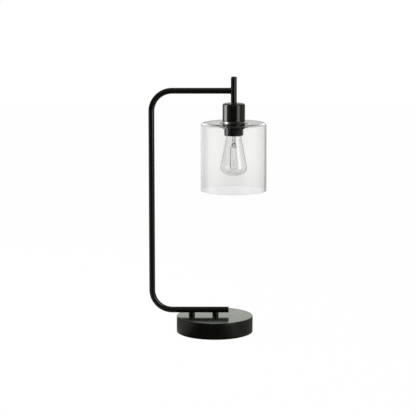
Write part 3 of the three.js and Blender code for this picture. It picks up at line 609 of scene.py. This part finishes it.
class LAMP_OT_tube(Operator):
    """Bend the frame's tube by extruding and spinning a circle, and weld it to the rod"""
    bl_idname = "lamp.tube"
    bl_label = "Frame tube"

    def execute(self, context):
        sizes = context.scene.lamp_frame
        box_low, box_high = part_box("frame_tube")
        radius, bend = box_high.y, sizes.bend_radius
        run_z, arm_z = box_low.z + radius, box_high.z - radius
        rod = middle("stem_rod")
        path = (low("tube_end_cap").x + sizes.cap_plug, run_z, box_low.x + radius, arm_z, rod.x)
        tube = self.bent_bar("bent_tube", radius, bend, path, 0)
        combined(tube, self.bent_bar("bore", radius - sizes.tube_wall, bend, path, MM), "DIFFERENCE")
        end = (rod.x, 0, arm_z)
        bored(tube, end, radius + sizes.cope_room, 4 * radius)
        for node in ("left_post", "right_post"):
            place = (middle(node).x, 0, run_z - radius)
            bored(tube, place, context.scene.lamp_base.stud_hole / 2, radius)
        finished(settle(tube), "powder_coat", "stand", "black_paint", "frame_tube")

        reach, room = radius + sizes.weld_width, radius + 0.02 * MM
        weld = bar("arm_weld", (rod.x - radius, 0, arm_z), radius + sizes.weld_height, 2 * reach, "X", 96)
        combined(weld, bar("around", end, reach, 4 * radius, sides=96), "INTERSECT")
        bored(weld, end, room, 5 * radius, "Z", 96)
        bored(weld, (rod.x - reach, 0, arm_z), room, 4 * radius, "X", 96)
        finished(settle(weld, 50), "powder_coat", "stand", "black_paint")
        return {"FINISHED"}

    def bent_bar(self, name, radius, bend, path, extra):
        """A round bar along the frame's path, whose disc is extruded straight and spun round each bend."""
        start_x, run_z, upright_x, arm_z, end_x = path
        start_x, turn_x, end_x = start_x + extra, upright_x + bend, end_x + extra
        bpy.ops.mesh.primitive_circle_add(
            vertices=64, radius=radius, fill_type="NGON", location=(start_x, 0, run_z),
            rotation=(0, QUARTER_TURN, 0))
        tube = named(name)
        bpy.ops.object.transform_apply()
        edit(tube)
        for move, turn_z in (
            ((turn_x - start_x, 0, 0), run_z + bend), ((0, 0, arm_z - run_z - 2 * bend), arm_z - bend),
        ):
            bpy.ops.mesh.extrude_region_move(TRANSFORM_OT_translate={"value": move})
            bpy.ops.mesh.spin(steps=24, angle=QUARTER_TURN, center=(turn_x, 0, turn_z), axis=(0, -1, 0))
        bpy.ops.mesh.extrude_region_move(TRANSFORM_OT_translate={"value": (end_x - turn_x, 0, 0)})
        leave_edit()
        return settle(tube)


class LAMP_OT_tube_cap(Operator):
    """Turn the cap with its small lip in the tube's lower end"""
    bl_idname = "lamp.tube_cap"
    bl_label = "Tube end cap"

    def execute(self, context):
        sizes = context.scene.lamp_frame
        box_low, box_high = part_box("tube_end_cap")
        plug = high("frame_tube").y - sizes.tube_wall - sizes.cap_room
        lip = (box_high.z - box_low.z) / 2
        back = box_low.x + sizes.cap_plug + sizes.cap_room
        cap = turned("end_cap", [
            (0, box_low.x), (plug, box_low.x, 0.6 * MM), (plug, back), (lip, back, sizes.cap_lip),
            (lip, box_high.x, sizes.cap_lip), (0, box_high.x),
        ], (0, 0, middle("tube_end_cap").z), "X", sides=64)
        finished(cap, "powder_coat", "stand", "black_paint", "tube_end_cap")
        return {"FINISHED"}


class LAMP_OT_rod(Operator):
    """Turn the upright rod at the end of the arm and the cap on it"""
    bl_idname = "lamp.rod"
    bl_label = "Rod and cap"

    def execute(self, context):
        sizes = context.scene.lamp_frame
        radius, bottom, top, axis = round_box("stem_rod")
        bore = radius - sizes.tube_wall
        rod = turned("upright_rod", [
            (bore, bottom), (radius, bottom, 0.2 * MM), (radius, top, 0.15 * MM), (bore, top),
        ], axis, sides=64, steps=3)
        place = (axis.x - radius, 0, high("frame_tube").z - high("frame_tube").y)
        bored(rod, place, sizes.wire_hole / 2, radius, "X", 32)
        finished(settle(rod), "powder_coat", "stand", "black_paint", "stem_rod")

        cap_low, cap_high = low("rod_cap").z, high("rod_cap").z
        plug, under = bore - sizes.cap_room, cap_low + sizes.rod_plug + sizes.cap_room
        cap = turned("rod_top", [
            (0, cap_low), (plug, cap_low, 0.5 * MM), (plug, under), (radius, under, 0.15 * MM),
            (radius, cap_high, sizes.rod_cap_edge), (0, cap_high),
        ], axis, sides=64)
        finished(cap, "powder_coat", "stand", "black_paint", "rod_cap")
        return {"FINISHED"}


class LAMP_OT_cup(Operator):
    """Turn the socket cup"""
    bl_idname = "lamp.cup"
    bl_label = "Socket cup"

    def execute(self, context):
        sizes = context.scene.lamp_holder
        outer, _, top, axis = round_box("socket_cup")
        bottom = washer_top(context.scene.lamp_glass) + sizes.cup_gap
        inner, under, hole = outer - sizes.cup_wall, top - sizes.cup_wall, sizes.pipe_hole / 2
        cup = turned("cup", [
            (hole, under), (inner, under, sizes.cup_edge - sizes.cup_wall),
            (inner, bottom, 0.3 * MM), (outer, bottom, 0.5 * MM), (outer, top, sizes.cup_edge), (hole, top),
        ], axis, sides=128)
        finished(cup, "powder_coat", "stand", "black_paint", "socket_cup")
        return {"FINISHED"}


class LAMP_OT_skirt(Operator):
    """Make the lamp holder's skirt with its outer thread, and the plated collar on it"""
    bl_idname = "lamp.skirt"
    bl_label = "Threaded skirt"

    def execute(self, context):
        sizes, glass = context.scene.lamp_holder, context.scene.lamp_glass
        _, bottom, top, axis = round_box("holder_skirt")
        bottom -= sizes.skirt_lip
        root, bore, mouth = sizes.thread_root / 2, sizes.bore / 2, sizes.mouth / 2
        land, spigot = root + 0.2 * MM, 18.3 * MM
        thread_low, thread_top = bottom + 0.9 * MM, low("socket_cup").z - 0.6 * MM
        shoulder = low("holder_dome").z - 0.3 * MM
        step = bottom + sizes.mouth_depth
        skirt = turned("skirt", [
            (mouth, bottom, 0.5 * MM), (root, bottom, 0.9 * MM), (root, thread_top), (land, thread_top),
            (land, shoulder), (spigot, shoulder), (spigot, top), (bore, top), (bore, step),
            (mouth, step - 4 * MM),
        ], axis)
        ridge = helix_ridge(
            axis, root - 0.15 * MM, root + sizes.thread_depth, thread_low, thread_top, sizes.thread_pitch, 0.0)
        combined(skirt, ridge, "UNION")
        finished(settle(skirt), "phenolic", "stand", "black_phenolic", "holder_skirt")

        inner, collar = root + 0.7 * MM, sizes.collar / 2
        collar_low, collar_high = high("glass_shade").z - glass.top, washer_top(glass)
        band = turned("collar", [
            (inner, collar_low), (collar, collar_low, 0.15 * MM), (collar, collar_high), (inner, collar_high),
        ], axis)
        finished(band, "collar", "stand", "zinc_steel")
        return {"FINISHED"}


# Pieces of the shade

class LAMP_OT_glass(Operator):
    """Turn the clear glass cylinder, and the plated ring and the washer above it"""
    bl_idname = "lamp.glass"
    bl_label = "Glass and washer"

    def execute(self, context):
        sizes = context.scene.lamp_glass
        outer, bottom, top, axis = round_box("glass_shade")
        inner, under, hole = outer - sizes.wall, top - sizes.top, sizes.hole / 2
        glass = turned("glass_cylinder", [
            (hole, under, 1.2 * MM), (inner, under, sizes.corner - sizes.wall), (inner, bottom, sizes.rim),
            (outer, bottom, sizes.rim), (outer, top, sizes.corner), (hole, top, 1.2 * MM),
        ], axis, sides=160, steps=10)
        finished(glass, "shade_glass", "shade", "shade_glass", "glass_shade")

        foot = low("shade_gasket").z - 0.2 * MM
        seat, top = low("shade_gasket").z + sizes.spacer_height, washer_top(sizes)
        spacer, washer = sizes.spacer / 2, sizes.washer / 2
        ring = turned("spacer", [
            (hole, foot), (spacer, foot, 0.2 * MM), (spacer, seat, 0.2 * MM), (hole, seat),
        ], axis)
        finished(ring, "collar", "shade", "zinc_steel")
        gasket = turned("washer", [
            (hole, seat), (washer, seat, sizes.washer_edge), (washer, top, sizes.washer_edge), (hole, top),
        ], axis)
        finished(gasket, "rubber", "shade", "black_rubber", "shade_gasket")
        return {"FINISHED"}


class LAMP_OT_ring(Operator):
    """Make the shade ring with its grip flutes and its inner thread"""
    bl_idname = "lamp.ring"
    bl_label = "Shade ring"

    def execute(self, context):
        sizes = context.scene.lamp_holder
        flange, bottom, _, _ = round_box("shade_ring")
        top = high("glass_shade").z - context.scene.lamp_glass.top - 0.15 * MM
        axis = axis_of("glass_shade")
        collar, bore, shelf = sizes.ring_collar / 2, sizes.ring_bore / 2, top - sizes.ring_flange
        ring = turned("clamp_ring", [
            (bore, bottom, 0.4 * MM), (collar, bottom, 0.8 * MM), (collar, shelf, 0.5 * MM),
            (flange, shelf, 0.6 * MM), (flange, top, 0.6 * MM), (bore, top, 0.4 * MM),
        ], axis, sides=4 * sizes.grips)
        # Every second pair of faces round the collar is sunk, as a grip flute
        edit(ring, "DESELECT")
        bpy.ops.mesh.select_mode(type="FACE")
        leave_edit()
        for face in ring.data.polygons:
            outward = Vector((face.center.x - axis.x, face.center.y, 0))
            upright = abs(face.normal.z) < 0.1 and abs(outward.length - collar) < 0.2 * MM
            step = math.floor(math.atan2(outward.y, outward.x) / FULL_TURN * 4 * sizes.grips)
            face.select = upright and step % 4 < 2
        bpy.ops.object.mode_set(mode="EDIT")
        bpy.ops.mesh.inset(thickness=0.3 * MM, depth=-sizes.grip_depth)
        leave_edit()
        ridge = helix_ridge(
            axis, bore + 0.15 * MM, bore - sizes.thread_depth, bottom + 0.4 * MM, top, sizes.thread_pitch, 0.5,
            steps=96)
        combined(ring, ridge, "UNION")
        finished(settle(ring), "powder_coat", "shade_ring", "black_paint", "shade_ring")
        return {"FINISHED"}


# Pieces of the bulb

def bulb_outline(sizes, inset, steps=28):
    """The bulb's side from its lower end up to the neck, measured inwards by a wall."""
    widest, bottom, _, _ = round_box("bulb_envelope")
    widest, neck = widest - inset, sizes.neck / 2 - inset
    widest_z, neck_z = bottom + sizes.widest, low("bulb_cap").z
    rise, drop = neck_z - widest_z, sizes.widest - inset
    points = []
    for k in range(steps):
        turn = QUARTER_TURN * k / steps
        points.append(Vector((widest * math.sin(turn), widest_z - drop * math.cos(turn))))
    control = (
        (widest, widest_z), (widest, widest_z + rise / 8), (neck * 1.09, neck_z - rise / 3),
        (neck, neck_z - 0.3 * MM))
    return points + [point.to_2d() for point in interpolate_bezier(*map(Vector, control), steps + 1)]


class LAMP_OT_envelope(Operator):
    """Turn the bulb's glass envelope"""
    bl_idname = "lamp.envelope"
    bl_label = "Bulb glass"

    def execute(self, context):
        sizes = context.scene.lamp_bulb
        top, cap_low = high("bulb_envelope").z, low("bulb_cap").z
        neck = 11.2 * MM
        inside = neck - sizes.wall
        envelope = turned("bulb_glass", [
            *bulb_outline(sizes, 0), (neck, cap_low + 0.5 * MM), (neck, top), (inside, top), (inside, cap_low),
            *bulb_outline(sizes, sizes.wall)[-2::-1],
        ], axis_of("bulb_envelope"))
        finished(envelope, "bulb_glass", "bulb", "bulb_glass", "bulb_envelope")
        return {"FINISHED"}


class LAMP_OT_stem(Operator):
    """Make the glass stem: a flared tube, the flat press and the thin rod below it"""
    bl_idname = "lamp.stem"
    bl_label = "Bulb stem"

    def execute(self, context):
        sizes = context.scene.lamp_bulb
        flare, bottom, top, _ = round_box("bulb_stem")
        axis = axis_of("bulb_envelope")
        outer, bore = sizes.stem / 2, sizes.stem_bore / 2
        wall, flare_low = outer - bore, top - sizes.stem
        cage_top = high("bulb_filament").z
        press_low = cage_top + sizes.press_gap
        press_high = press_low + sizes.press_height
        tube = turned("stem_glass", [
            (bore, press_high - 2 * MM, 0.3 * MM), (outer, press_high - 3 * MM, 0.3 * MM),
            (outer, flare_low, 3 * MM), (flare, top - wall), (flare, top), (flare - wall, top),
            (bore, flare_low + wall, 3 * MM),
        ], axis, sides=48)
        bpy.ops.mesh.primitive_uv_sphere_add(
            segments=32, ring_count=16, radius=1, location=(axis.x, 0, (press_low + press_high) / 2),
            scale=(5 * MM, 2.5 * MM, 4.6 * MM))
        press = named("press")
        bpy.ops.object.transform_apply()
        combined(tube, press, "UNION")
        radius, button, rod_top = sizes.glass_rod / 2, sizes.rod_button / 2, press_low + 3 * MM
        rod = turned("rod", [
            (0, bottom), (button, bottom, 0.8 * MM), (button, bottom + 2.6 * MM, 0.6 * MM),
            (radius, bottom + 3.4 * MM), (radius, cage_top - 2.1 * MM), (button, cage_top - 1.5 * MM, 0.5 * MM),
            (button, cage_top + 1.1 * MM, 0.5 * MM), (radius, cage_top + 1.7 * MM), (radius, rod_top),
            (0, rod_top),
        ], axis, sides=24)
        combined(tube, rod, "UNION")
        finished(settle(tube, 40), "bulb_glass", "bulb", "bulb_glass", "bulb_stem")
        return {"FINISHED"}


# Shares of a turn round the bulb's axis: the filament's corners, down and up by turns, from the left lead's
# foot to the right lead's end, and the left lead itself
ZIGZAG = (0.56, 0.66, 0.76, 0.86, 0.96, 0.04)
LEFT_LEAD = 0.46


def on_cage(radius, share, height):
    """A point of the filament's cage, at a share of a turn round the bulb's axis."""
    turn = FULL_TURN * share
    return axis_of("bulb_envelope") + Vector((radius * math.cos(turn), radius * math.sin(turn), height))


class LAMP_OT_filament(Operator):
    """Bend the filament, its two leads and the hooks that hold it"""
    bl_idname = "lamp.filament"
    bl_label = "Filament"

    def execute(self, context):
        sizes = context.scene.lamp_bulb
        top, bottom = high("bulb_filament").z, low("bulb_filament").z
        corners = [(share, top if k % 2 else bottom) for k, share in enumerate(ZIGZAG)]
        places = [on_cage(sizes.cage, *corner) for corner in corners]
        path = [places[0]]
        for before, here, after in zip(places, places[1:], places[2:]):
            path += arc_points(before, here, after, 0.35 * MM)
        filament = wire("filament", [*path, places[-1]], sizes.filament / 2)
        finished(filament, "filament", "bulb", "filament_wire", "bulb_filament")
        self.make_leads(sizes, top, places[0])
        self.make_hooks(sizes, corners[1:5:2] + corners[0:5:2])
        return {"FINISHED"}

    def make_leads(self, sizes, top, foot):
        """Each lead comes down through the press and out to the cage. The left one goes on down to the
        lower end, and the filament runs from there to the end of the right one."""
        axis = axis_of("bulb_envelope")
        for node, share, side in (("bulb_lead_left", LEFT_LEAD, -1), ("bulb_lead_right", ZIGZAG[-1], 1)):
            box_low, box_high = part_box(node)
            start = Vector((axis.x + side * 2.2 * MM, 0, box_high.z))
            knee = Vector((start.x, 0, top + 1.9 * MM))
            elbow = on_cage(sizes.cage, share, box_low.z + sizes.lead / 2)
            path = [start, *arc_points(start, knee, elbow, 1.2 * MM)]
            path += [*arc_points(knee, elbow, foot, 0.7 * MM), foot] if side < 0 else [elbow]
            lead = wire(node.replace("bulb_", "wire_"), path, sizes.lead / 2)
            finished(lead, "lead", "bulb", "filament_wire", node)

    def make_hooks(self, sizes, places):
        """One hook reaches from the glass rod to an eye round the filament, and is copied to the others."""
        (first_share, first_height), *others = places
        eye = 1.5 * sizes.hook
        path = [on_cage(1.0 * MM, first_share, first_height)]
        for turn in map(math.radians, range(0, 320, 20)):
            reach, rise = sizes.cage - eye * math.cos(turn), eye * math.sin(turn)
            path.append(on_cage(reach, first_share, first_height + rise))
        hooks = [wire("hook_1", path, sizes.hook / 2)]
        for number, (share, height) in enumerate(others, 2):
            turn = FULL_TURN * (first_share - share)
            move = (0, 0, height - first_height)
            hooks.append(copied(hooks[0], f"hook_{number}", move, turn, axis_of("bulb_envelope")))
        for number, hook in enumerate(hooks, 1):
            finished(hook, "filament", "bulb", "filament_wire", f"bulb_support_{number}")


# The stage

# Grey of the room's light, by the angle from the camera's side, positive to the right
ROOM = (
    (-180, 1.0), (-164, 1.0), (-144, 0.8), (-130, 0.35), (-108, 0.2), (-72, 0.15), (-43, 0.04), (25, 0.04),
    (58, 0.2), (85, 0.35), (119, 0.35), (144, 0.3), (166, 1.0), (180, 1.0),
)
# Painted light and shade that the floor glows with for a sheen, by the same angle: pale towards the soft boxes
# and behind, dark in front
FLOOR_PAINTED_LIGHT = (
    (-180, 1.0), (-164, 0.9), (-144, 0.75), (-126, 0.35), (-108, 0.4), (-86, 0.8), (-72, 0.7), (-62, 0.6),
    (-52, 0.15), (-35, 0.04), (10, 0.04), (25, 0.2), (47, 0.8), (65, 0.5), (90, 0.45), (110, 0.4), (130, 0.25),
    (144, 0.25), (166, 0.9), (180, 1.0),
)
# How bright the wall is by the height of the direction, from straight down at -1 to straight up at 1
WALL = ((-1.0, 1.0), (-0.03, 1.0), (0.03, 0.15), (0.12, 0.15), (0.2, 1.45), (1.0, 1.0))
# The wall and the ceiling in a sharp reflection, the ceiling in a soft one, and the heights where it comes in
SHARP_WALL, SHARP_CEILING, CEILING = 0.5, 0.06, 0.29
CEILING_FROM, CEILING_TO = 0.3, 0.7
# The plain level that lights matte surfaces
FILL = 0.6
# The faint olive of what a soft sheen shows, in the room's light and as a painted reflection tint on the floor
ROOM_TINT = "#fafff3"
# How a sheen sees the floor: painted shade round the base, paler away from it and brightest far off. The far
# one also darkens, as painted shade, what glass shows of the floor nearer the lamp
NEAR_PAINTED_SHADE = {"From Min": 0.1, "From Max": 0.45, "To Min": 0.55, "To Max": 1.0}
FAR_PAINTED_SHADE = {"From Min": 1.2, "From Max": 3.0, "To Min": 0.8, "To Max": 1.0}
# The floor's matte colour, and the share of white that is shown over it
FLOOR_COLOUR, SHOWN_WHITE = "#d8d8d6", 0.98
# Where the camera stands and what it and the lamps aim at, in metres. Lens and sensor are in millimetres
CAMERA_PLACE = Vector((-0.0144, -3.554, 0.8415))
CAMERA_AIM = Vector((-0.0144, 0.0, 0.269))
CAMERA_LENS, CAMERA_SENSOR = 146.25, 36.0
LAMP_AIM = Vector((0.0, 0.0, 0.3))
# The glass that the lamps shine through
CLEAR_PIECES = ("glass_cylinder", "bulb_glass")


def seen_rays(tree):
    """The camera's rays and those straight through glass, which see white, those off a sheen or reflected
    inside glass, which see the room, and among these the mirror-sharp ones."""
    path = add_node(tree, "LightPath").outputs
    transmitted = path["Is Transmission Ray"]
    straight = add_node(tree, "Math", {0: path["Glossy Depth"], 1: 0.5}, operation="LESS_THAN")
    through = add_node(tree, "Math", {0: transmitted, 1: straight}, operation="MULTIPLY")
    reflected = add_node(tree, "Math", {0: transmitted, 1: through}, operation="SUBTRACT")
    sheen = add_node(tree, "Math", {0: path["Is Glossy Ray"], 1: reflected}, operation="MAXIMUM")
    return path["Is Camera Ray"], through, sheen, path["Is Singular Ray"]


def tinted(tree, sheen, sharp):
    """White, with the room's faint olive for the rays off a soft sheen. On the floor this olive is a painted
    reflection tint.
    """
    soft = add_node(tree, "Math", {0: sheen, 1: sharp}, operation="SUBTRACT")
    return add_node(tree, "Mix", {
        "Factor": soft, 6: (1, 1, 1, 1), 7: (*linear(ROOM_TINT), 1)}, data_type="RGBA").outputs[2]


def room_level(tree, vector, stops):
    """The grey in a direction, from stops of angle and grey."""
    parts = add_node(tree, "SeparateXYZ", {0: vector}).outputs
    nearer = add_node(tree, "Math", {0: parts["Y"], 1: -1.0}, operation="MULTIPLY")
    bearing = add_node(tree, "Math", {0: parts["X"], 1: nearer}, operation="ARCTAN2")
    bearings = [(math.radians(angle), grey) for angle, grey in stops]
    return grey_between(tree, bearing, -math.pi, math.pi, bearings)


def grey_between(tree, value, start, end, stops):
    """The grey for a value, between stops of value and grey that begin at start and finish at end."""
    share = add_node(tree, "MapRange", {"Value": value, "From Min": start, "From Max": end})
    ramp = add_node(tree, "ValToRGB", {0: share})
    elements = ramp.color_ramp.elements
    for element, (_, grey) in zip(elements, (stops[0], stops[-1])):
        element.color = (grey, grey, grey, 1)
    for place, grey in stops[1:-1]:
        elements.new((place - start) / (end - start)).color = (grey, grey, grey, 1)
    return ramp


class LAMP_OT_stage(Operator):
    """Set up the pale floor, the studio light and the camera"""
    bl_idname = "lamp.stage"
    bl_label = "Stage"

    def execute(self, context):
        scene = context.scene
        scene.view_settings.view_transform = "Standard"
        self.make_floor()
        self.make_world(scene)
        left = self.make_lamp(
            "left_softbox", azimuth=-93, height=0.75, distance=1.5, width=0.85, tall=1.6, radiance=10.0)
        self.flag(left, "glass_cylinder", "bulb_glass", "cover", "bent_tube", "upright_rod")
        right = self.make_lamp(
            "right_softbox", azimuth=49, height=0.85, distance=1.6, width=0.7, tall=1.4, radiance=3.0)
        self.flag(right, "glass_cylinder", "skirt", "clamp_ring", "collar", "spacer")
        self.make_camera(scene)
        return {"FINISHED"}

    def make_floor(self):
        """A pale floor that shows white and keeps the lamp's shadow. For a sheen and through glass it glows
        with painted light and shade.
        """
        bpy.ops.mesh.primitive_plane_add(size=10, location=(0, 0, 0))
        floor = named("floor")
        tree, place = new_finish("floor", "pale floor")
        camera, through, sheen, sharp = seen_rays(tree)
        distance = add_node(tree, "VectorMath", {0: place}, operation="LENGTH").outputs["Value"]
        # Painted shade: the floor's glow is darker round the base and nearer the lamp
        far, near = (
            add_node(tree, "MapRange", {"Value": distance, **shade}, interpolation_type="SMOOTHSTEP")
            for shade in (FAR_PAINTED_SHADE, NEAR_PAINTED_SHADE))
        behind = add_node(tree, "Math", {0: through, 1: far}, operation="MULTIPLY")
        # Painted light and shade: the floor's glow for a sheen, by the angle round the lamp
        room = room_level(tree, place, FLOOR_PAINTED_LIGHT)
        for factor in (far, near, sheen):
            room = add_node(tree, "Math", {0: room, 1: factor}, operation="MULTIPLY")
        level = seen = camera
        for other in (behind, room):
            level = add_node(tree, "Math", {0: level, 1: other}, operation="MAXIMUM")
        for other in (through, sheen):
            seen = add_node(tree, "Math", {0: seen, 1: other}, operation="MAXIMUM")
        share = add_node(tree, "Math", {0: seen, 1: SHOWN_WHITE}, operation="MULTIPLY")
        matte = add_node(tree, "BsdfDiffuse", {"Color": (*linear(FLOOR_COLOUR), 1)})
        white = add_node(tree, "Emission", {"Color": tinted(tree, sheen, sharp), "Strength": level})
        shown = add_node(tree, "MixShader", {0: share, 1: matte, 2: white})
        add_node(tree, "OutputMaterial", {"Surface": shown})
        floor.data.materials.append(FINISHES["floor"])

    def make_world(self, scene):
        """A white wall behind the lamp in a darker room for what is seen, and a plain level of light."""
        scene.world = bpy.data.worlds.new("studio")
        scene.world.use_nodes = True
        tree = scene.world.node_tree
        tree.nodes.clear()
        direction = add_node(tree, "TexCoord").outputs["Generated"]
        height = add_node(tree, "SeparateXYZ", {0: direction}).outputs["Z"]
        camera, through, sheen, sharp = seen_rays(tree)
        pale = add_node(tree, "Math", {0: sharp, 1: SHARP_WALL}, operation="MULTIPLY")
        wall = add_node(tree, "Math", {
            0: grey_between(tree, height, -1.0, 1.0, WALL), 1: pale}, operation="MAXIMUM")
        overhead = add_node(tree, "MapRange", {
            "Value": height, "From Min": CEILING_FROM, "From Max": CEILING_TO}, interpolation_type="SMOOTHSTEP")
        around = add_node(tree, "Math", {0: room_level(tree, direction, ROOM), 1: wall}, operation="MULTIPLY")
        ceiling = add_node(tree, "Mix", {0: sharp, 2: CEILING, 3: SHARP_CEILING})
        room = add_node(tree, "Mix", {0: overhead, 2: around, 3: ceiling})
        white = add_node(tree, "Math", {0: camera, 1: through}, operation="MAXIMUM")
        plain = add_node(tree, "Mix", {0: white, 2: FILL, 3: 1.0})
        level = add_node(tree, "Mix", {0: sheen, 2: plain, 3: room})
        sky = add_node(tree, "Background", {"Color": tinted(tree, sheen, sharp), "Strength": level})
        add_node(tree, "OutputWorld", {"Surface": sky})

    def make_lamp(self, name, azimuth, height, distance, width, tall, radiance):
        """A tall soft box. Azimuth counts from the camera's side, positive to the right."""
        angle = math.radians(azimuth)
        place = Vector((distance * math.sin(angle), -distance * math.cos(angle), height))
        turn = (LAMP_AIM - place).to_track_quat("-Z", "Y").to_euler()
        bpy.ops.object.light_add(type="AREA", location=place, rotation=turn)
        lamp = named(name)
        lamp.data.shape = "RECTANGLE"
        lamp.data.size, lamp.data.size_y = width, tall
        lamp.data.energy = radiance * math.pi * width * tall
        lamp.visible_camera = lamp.visible_transmission = False
        return lamp

    def flag(self, lamp, *unlit):
        """Keeps a lamp's strip reflection off the unlit pieces, as a flag does in a studio, and lets its
        light through the clear glass to the pieces inside."""
        for setting, names in (("receiver_collection", unlit), ("blocker_collection", CLEAR_PIECES)):
            group = bpy.data.collections.new(f"{lamp.name} {setting}")
            for name in names:
                group.objects.link(bpy.data.objects[name])
            for item in group.collection_objects:
                item.light_linking.link_state = "EXCLUDE"
            setattr(lamp.light_linking, setting, group)

    def make_camera(self, scene):
        """The photograph's view: straight on, and about nine degrees from above."""
        turn = (CAMERA_AIM - CAMERA_PLACE).to_track_quat("-Z", "Y").to_euler()
        bpy.ops.object.camera_add(location=CAMERA_PLACE, rotation=turn)
        camera = named("camera")
        camera.data.sensor_width, camera.data.lens = CAMERA_SENSOR, CAMERA_LENS
        scene.camera = camera


# The add-on

OPERATORS = (
    LAMP_OT_finishes, LAMP_OT_base, LAMP_OT_bushing, LAMP_OT_posts, LAMP_OT_tube, LAMP_OT_tube_cap,
    LAMP_OT_rod, LAMP_OT_cup, LAMP_OT_skirt, LAMP_OT_glass, LAMP_OT_ring, LAMP_OT_envelope, LAMP_OT_stem,
    LAMP_OT_filament, LAMP_OT_stage,
)
GROUPS = {
    "lamp_base": LampBaseSizes, "lamp_frame": LampFrameSizes, "lamp_holder": LampHolderSizes,
    "lamp_glass": LampGlassSizes, "lamp_bulb": LampBulbSizes, "lamp_colours": LampColours,
}


class LAMP_PT_panel(Panel):
    """Lists the lamp's sizes, colours and steps"""
    bl_idname = "LAMP_PT_panel"
    bl_label = "Glass table lamp"
    bl_space_type = "VIEW_3D"
    bl_region_type = "UI"
    bl_category = "Lamp"

    def draw(self, context):
        layout = self.layout
        for attribute, group in GROUPS.items():
            box = layout.box()
            box.label(text=group.__doc__)
            for name in group.__annotations__:
                box.prop(getattr(context.scene, attribute), name)
        for operator in OPERATORS:
            layout.operator(operator.bl_idname)


CLASSES = (*GROUPS.values(), *OPERATORS, LAMP_PT_panel)


def register():
    for cls in CLASSES:
        bpy.utils.register_class(cls)
    for attribute, group in GROUPS.items():
        setattr(bpy.types.Scene, attribute, PointerProperty(type=group))


def unregister():
    for attribute in GROUPS:
        delattr(bpy.types.Scene, attribute)
    for cls in reversed(CLASSES):
        bpy.utils.unregister_class(cls)


def main():
    """Builds the lamp and its stage in order."""
    register()
    for operator in OPERATORS:
        prefix, name = operator.bl_idname.split(".")
        getattr(getattr(bpy.ops, prefix), name)()


if __name__ == "__main__":
    main()
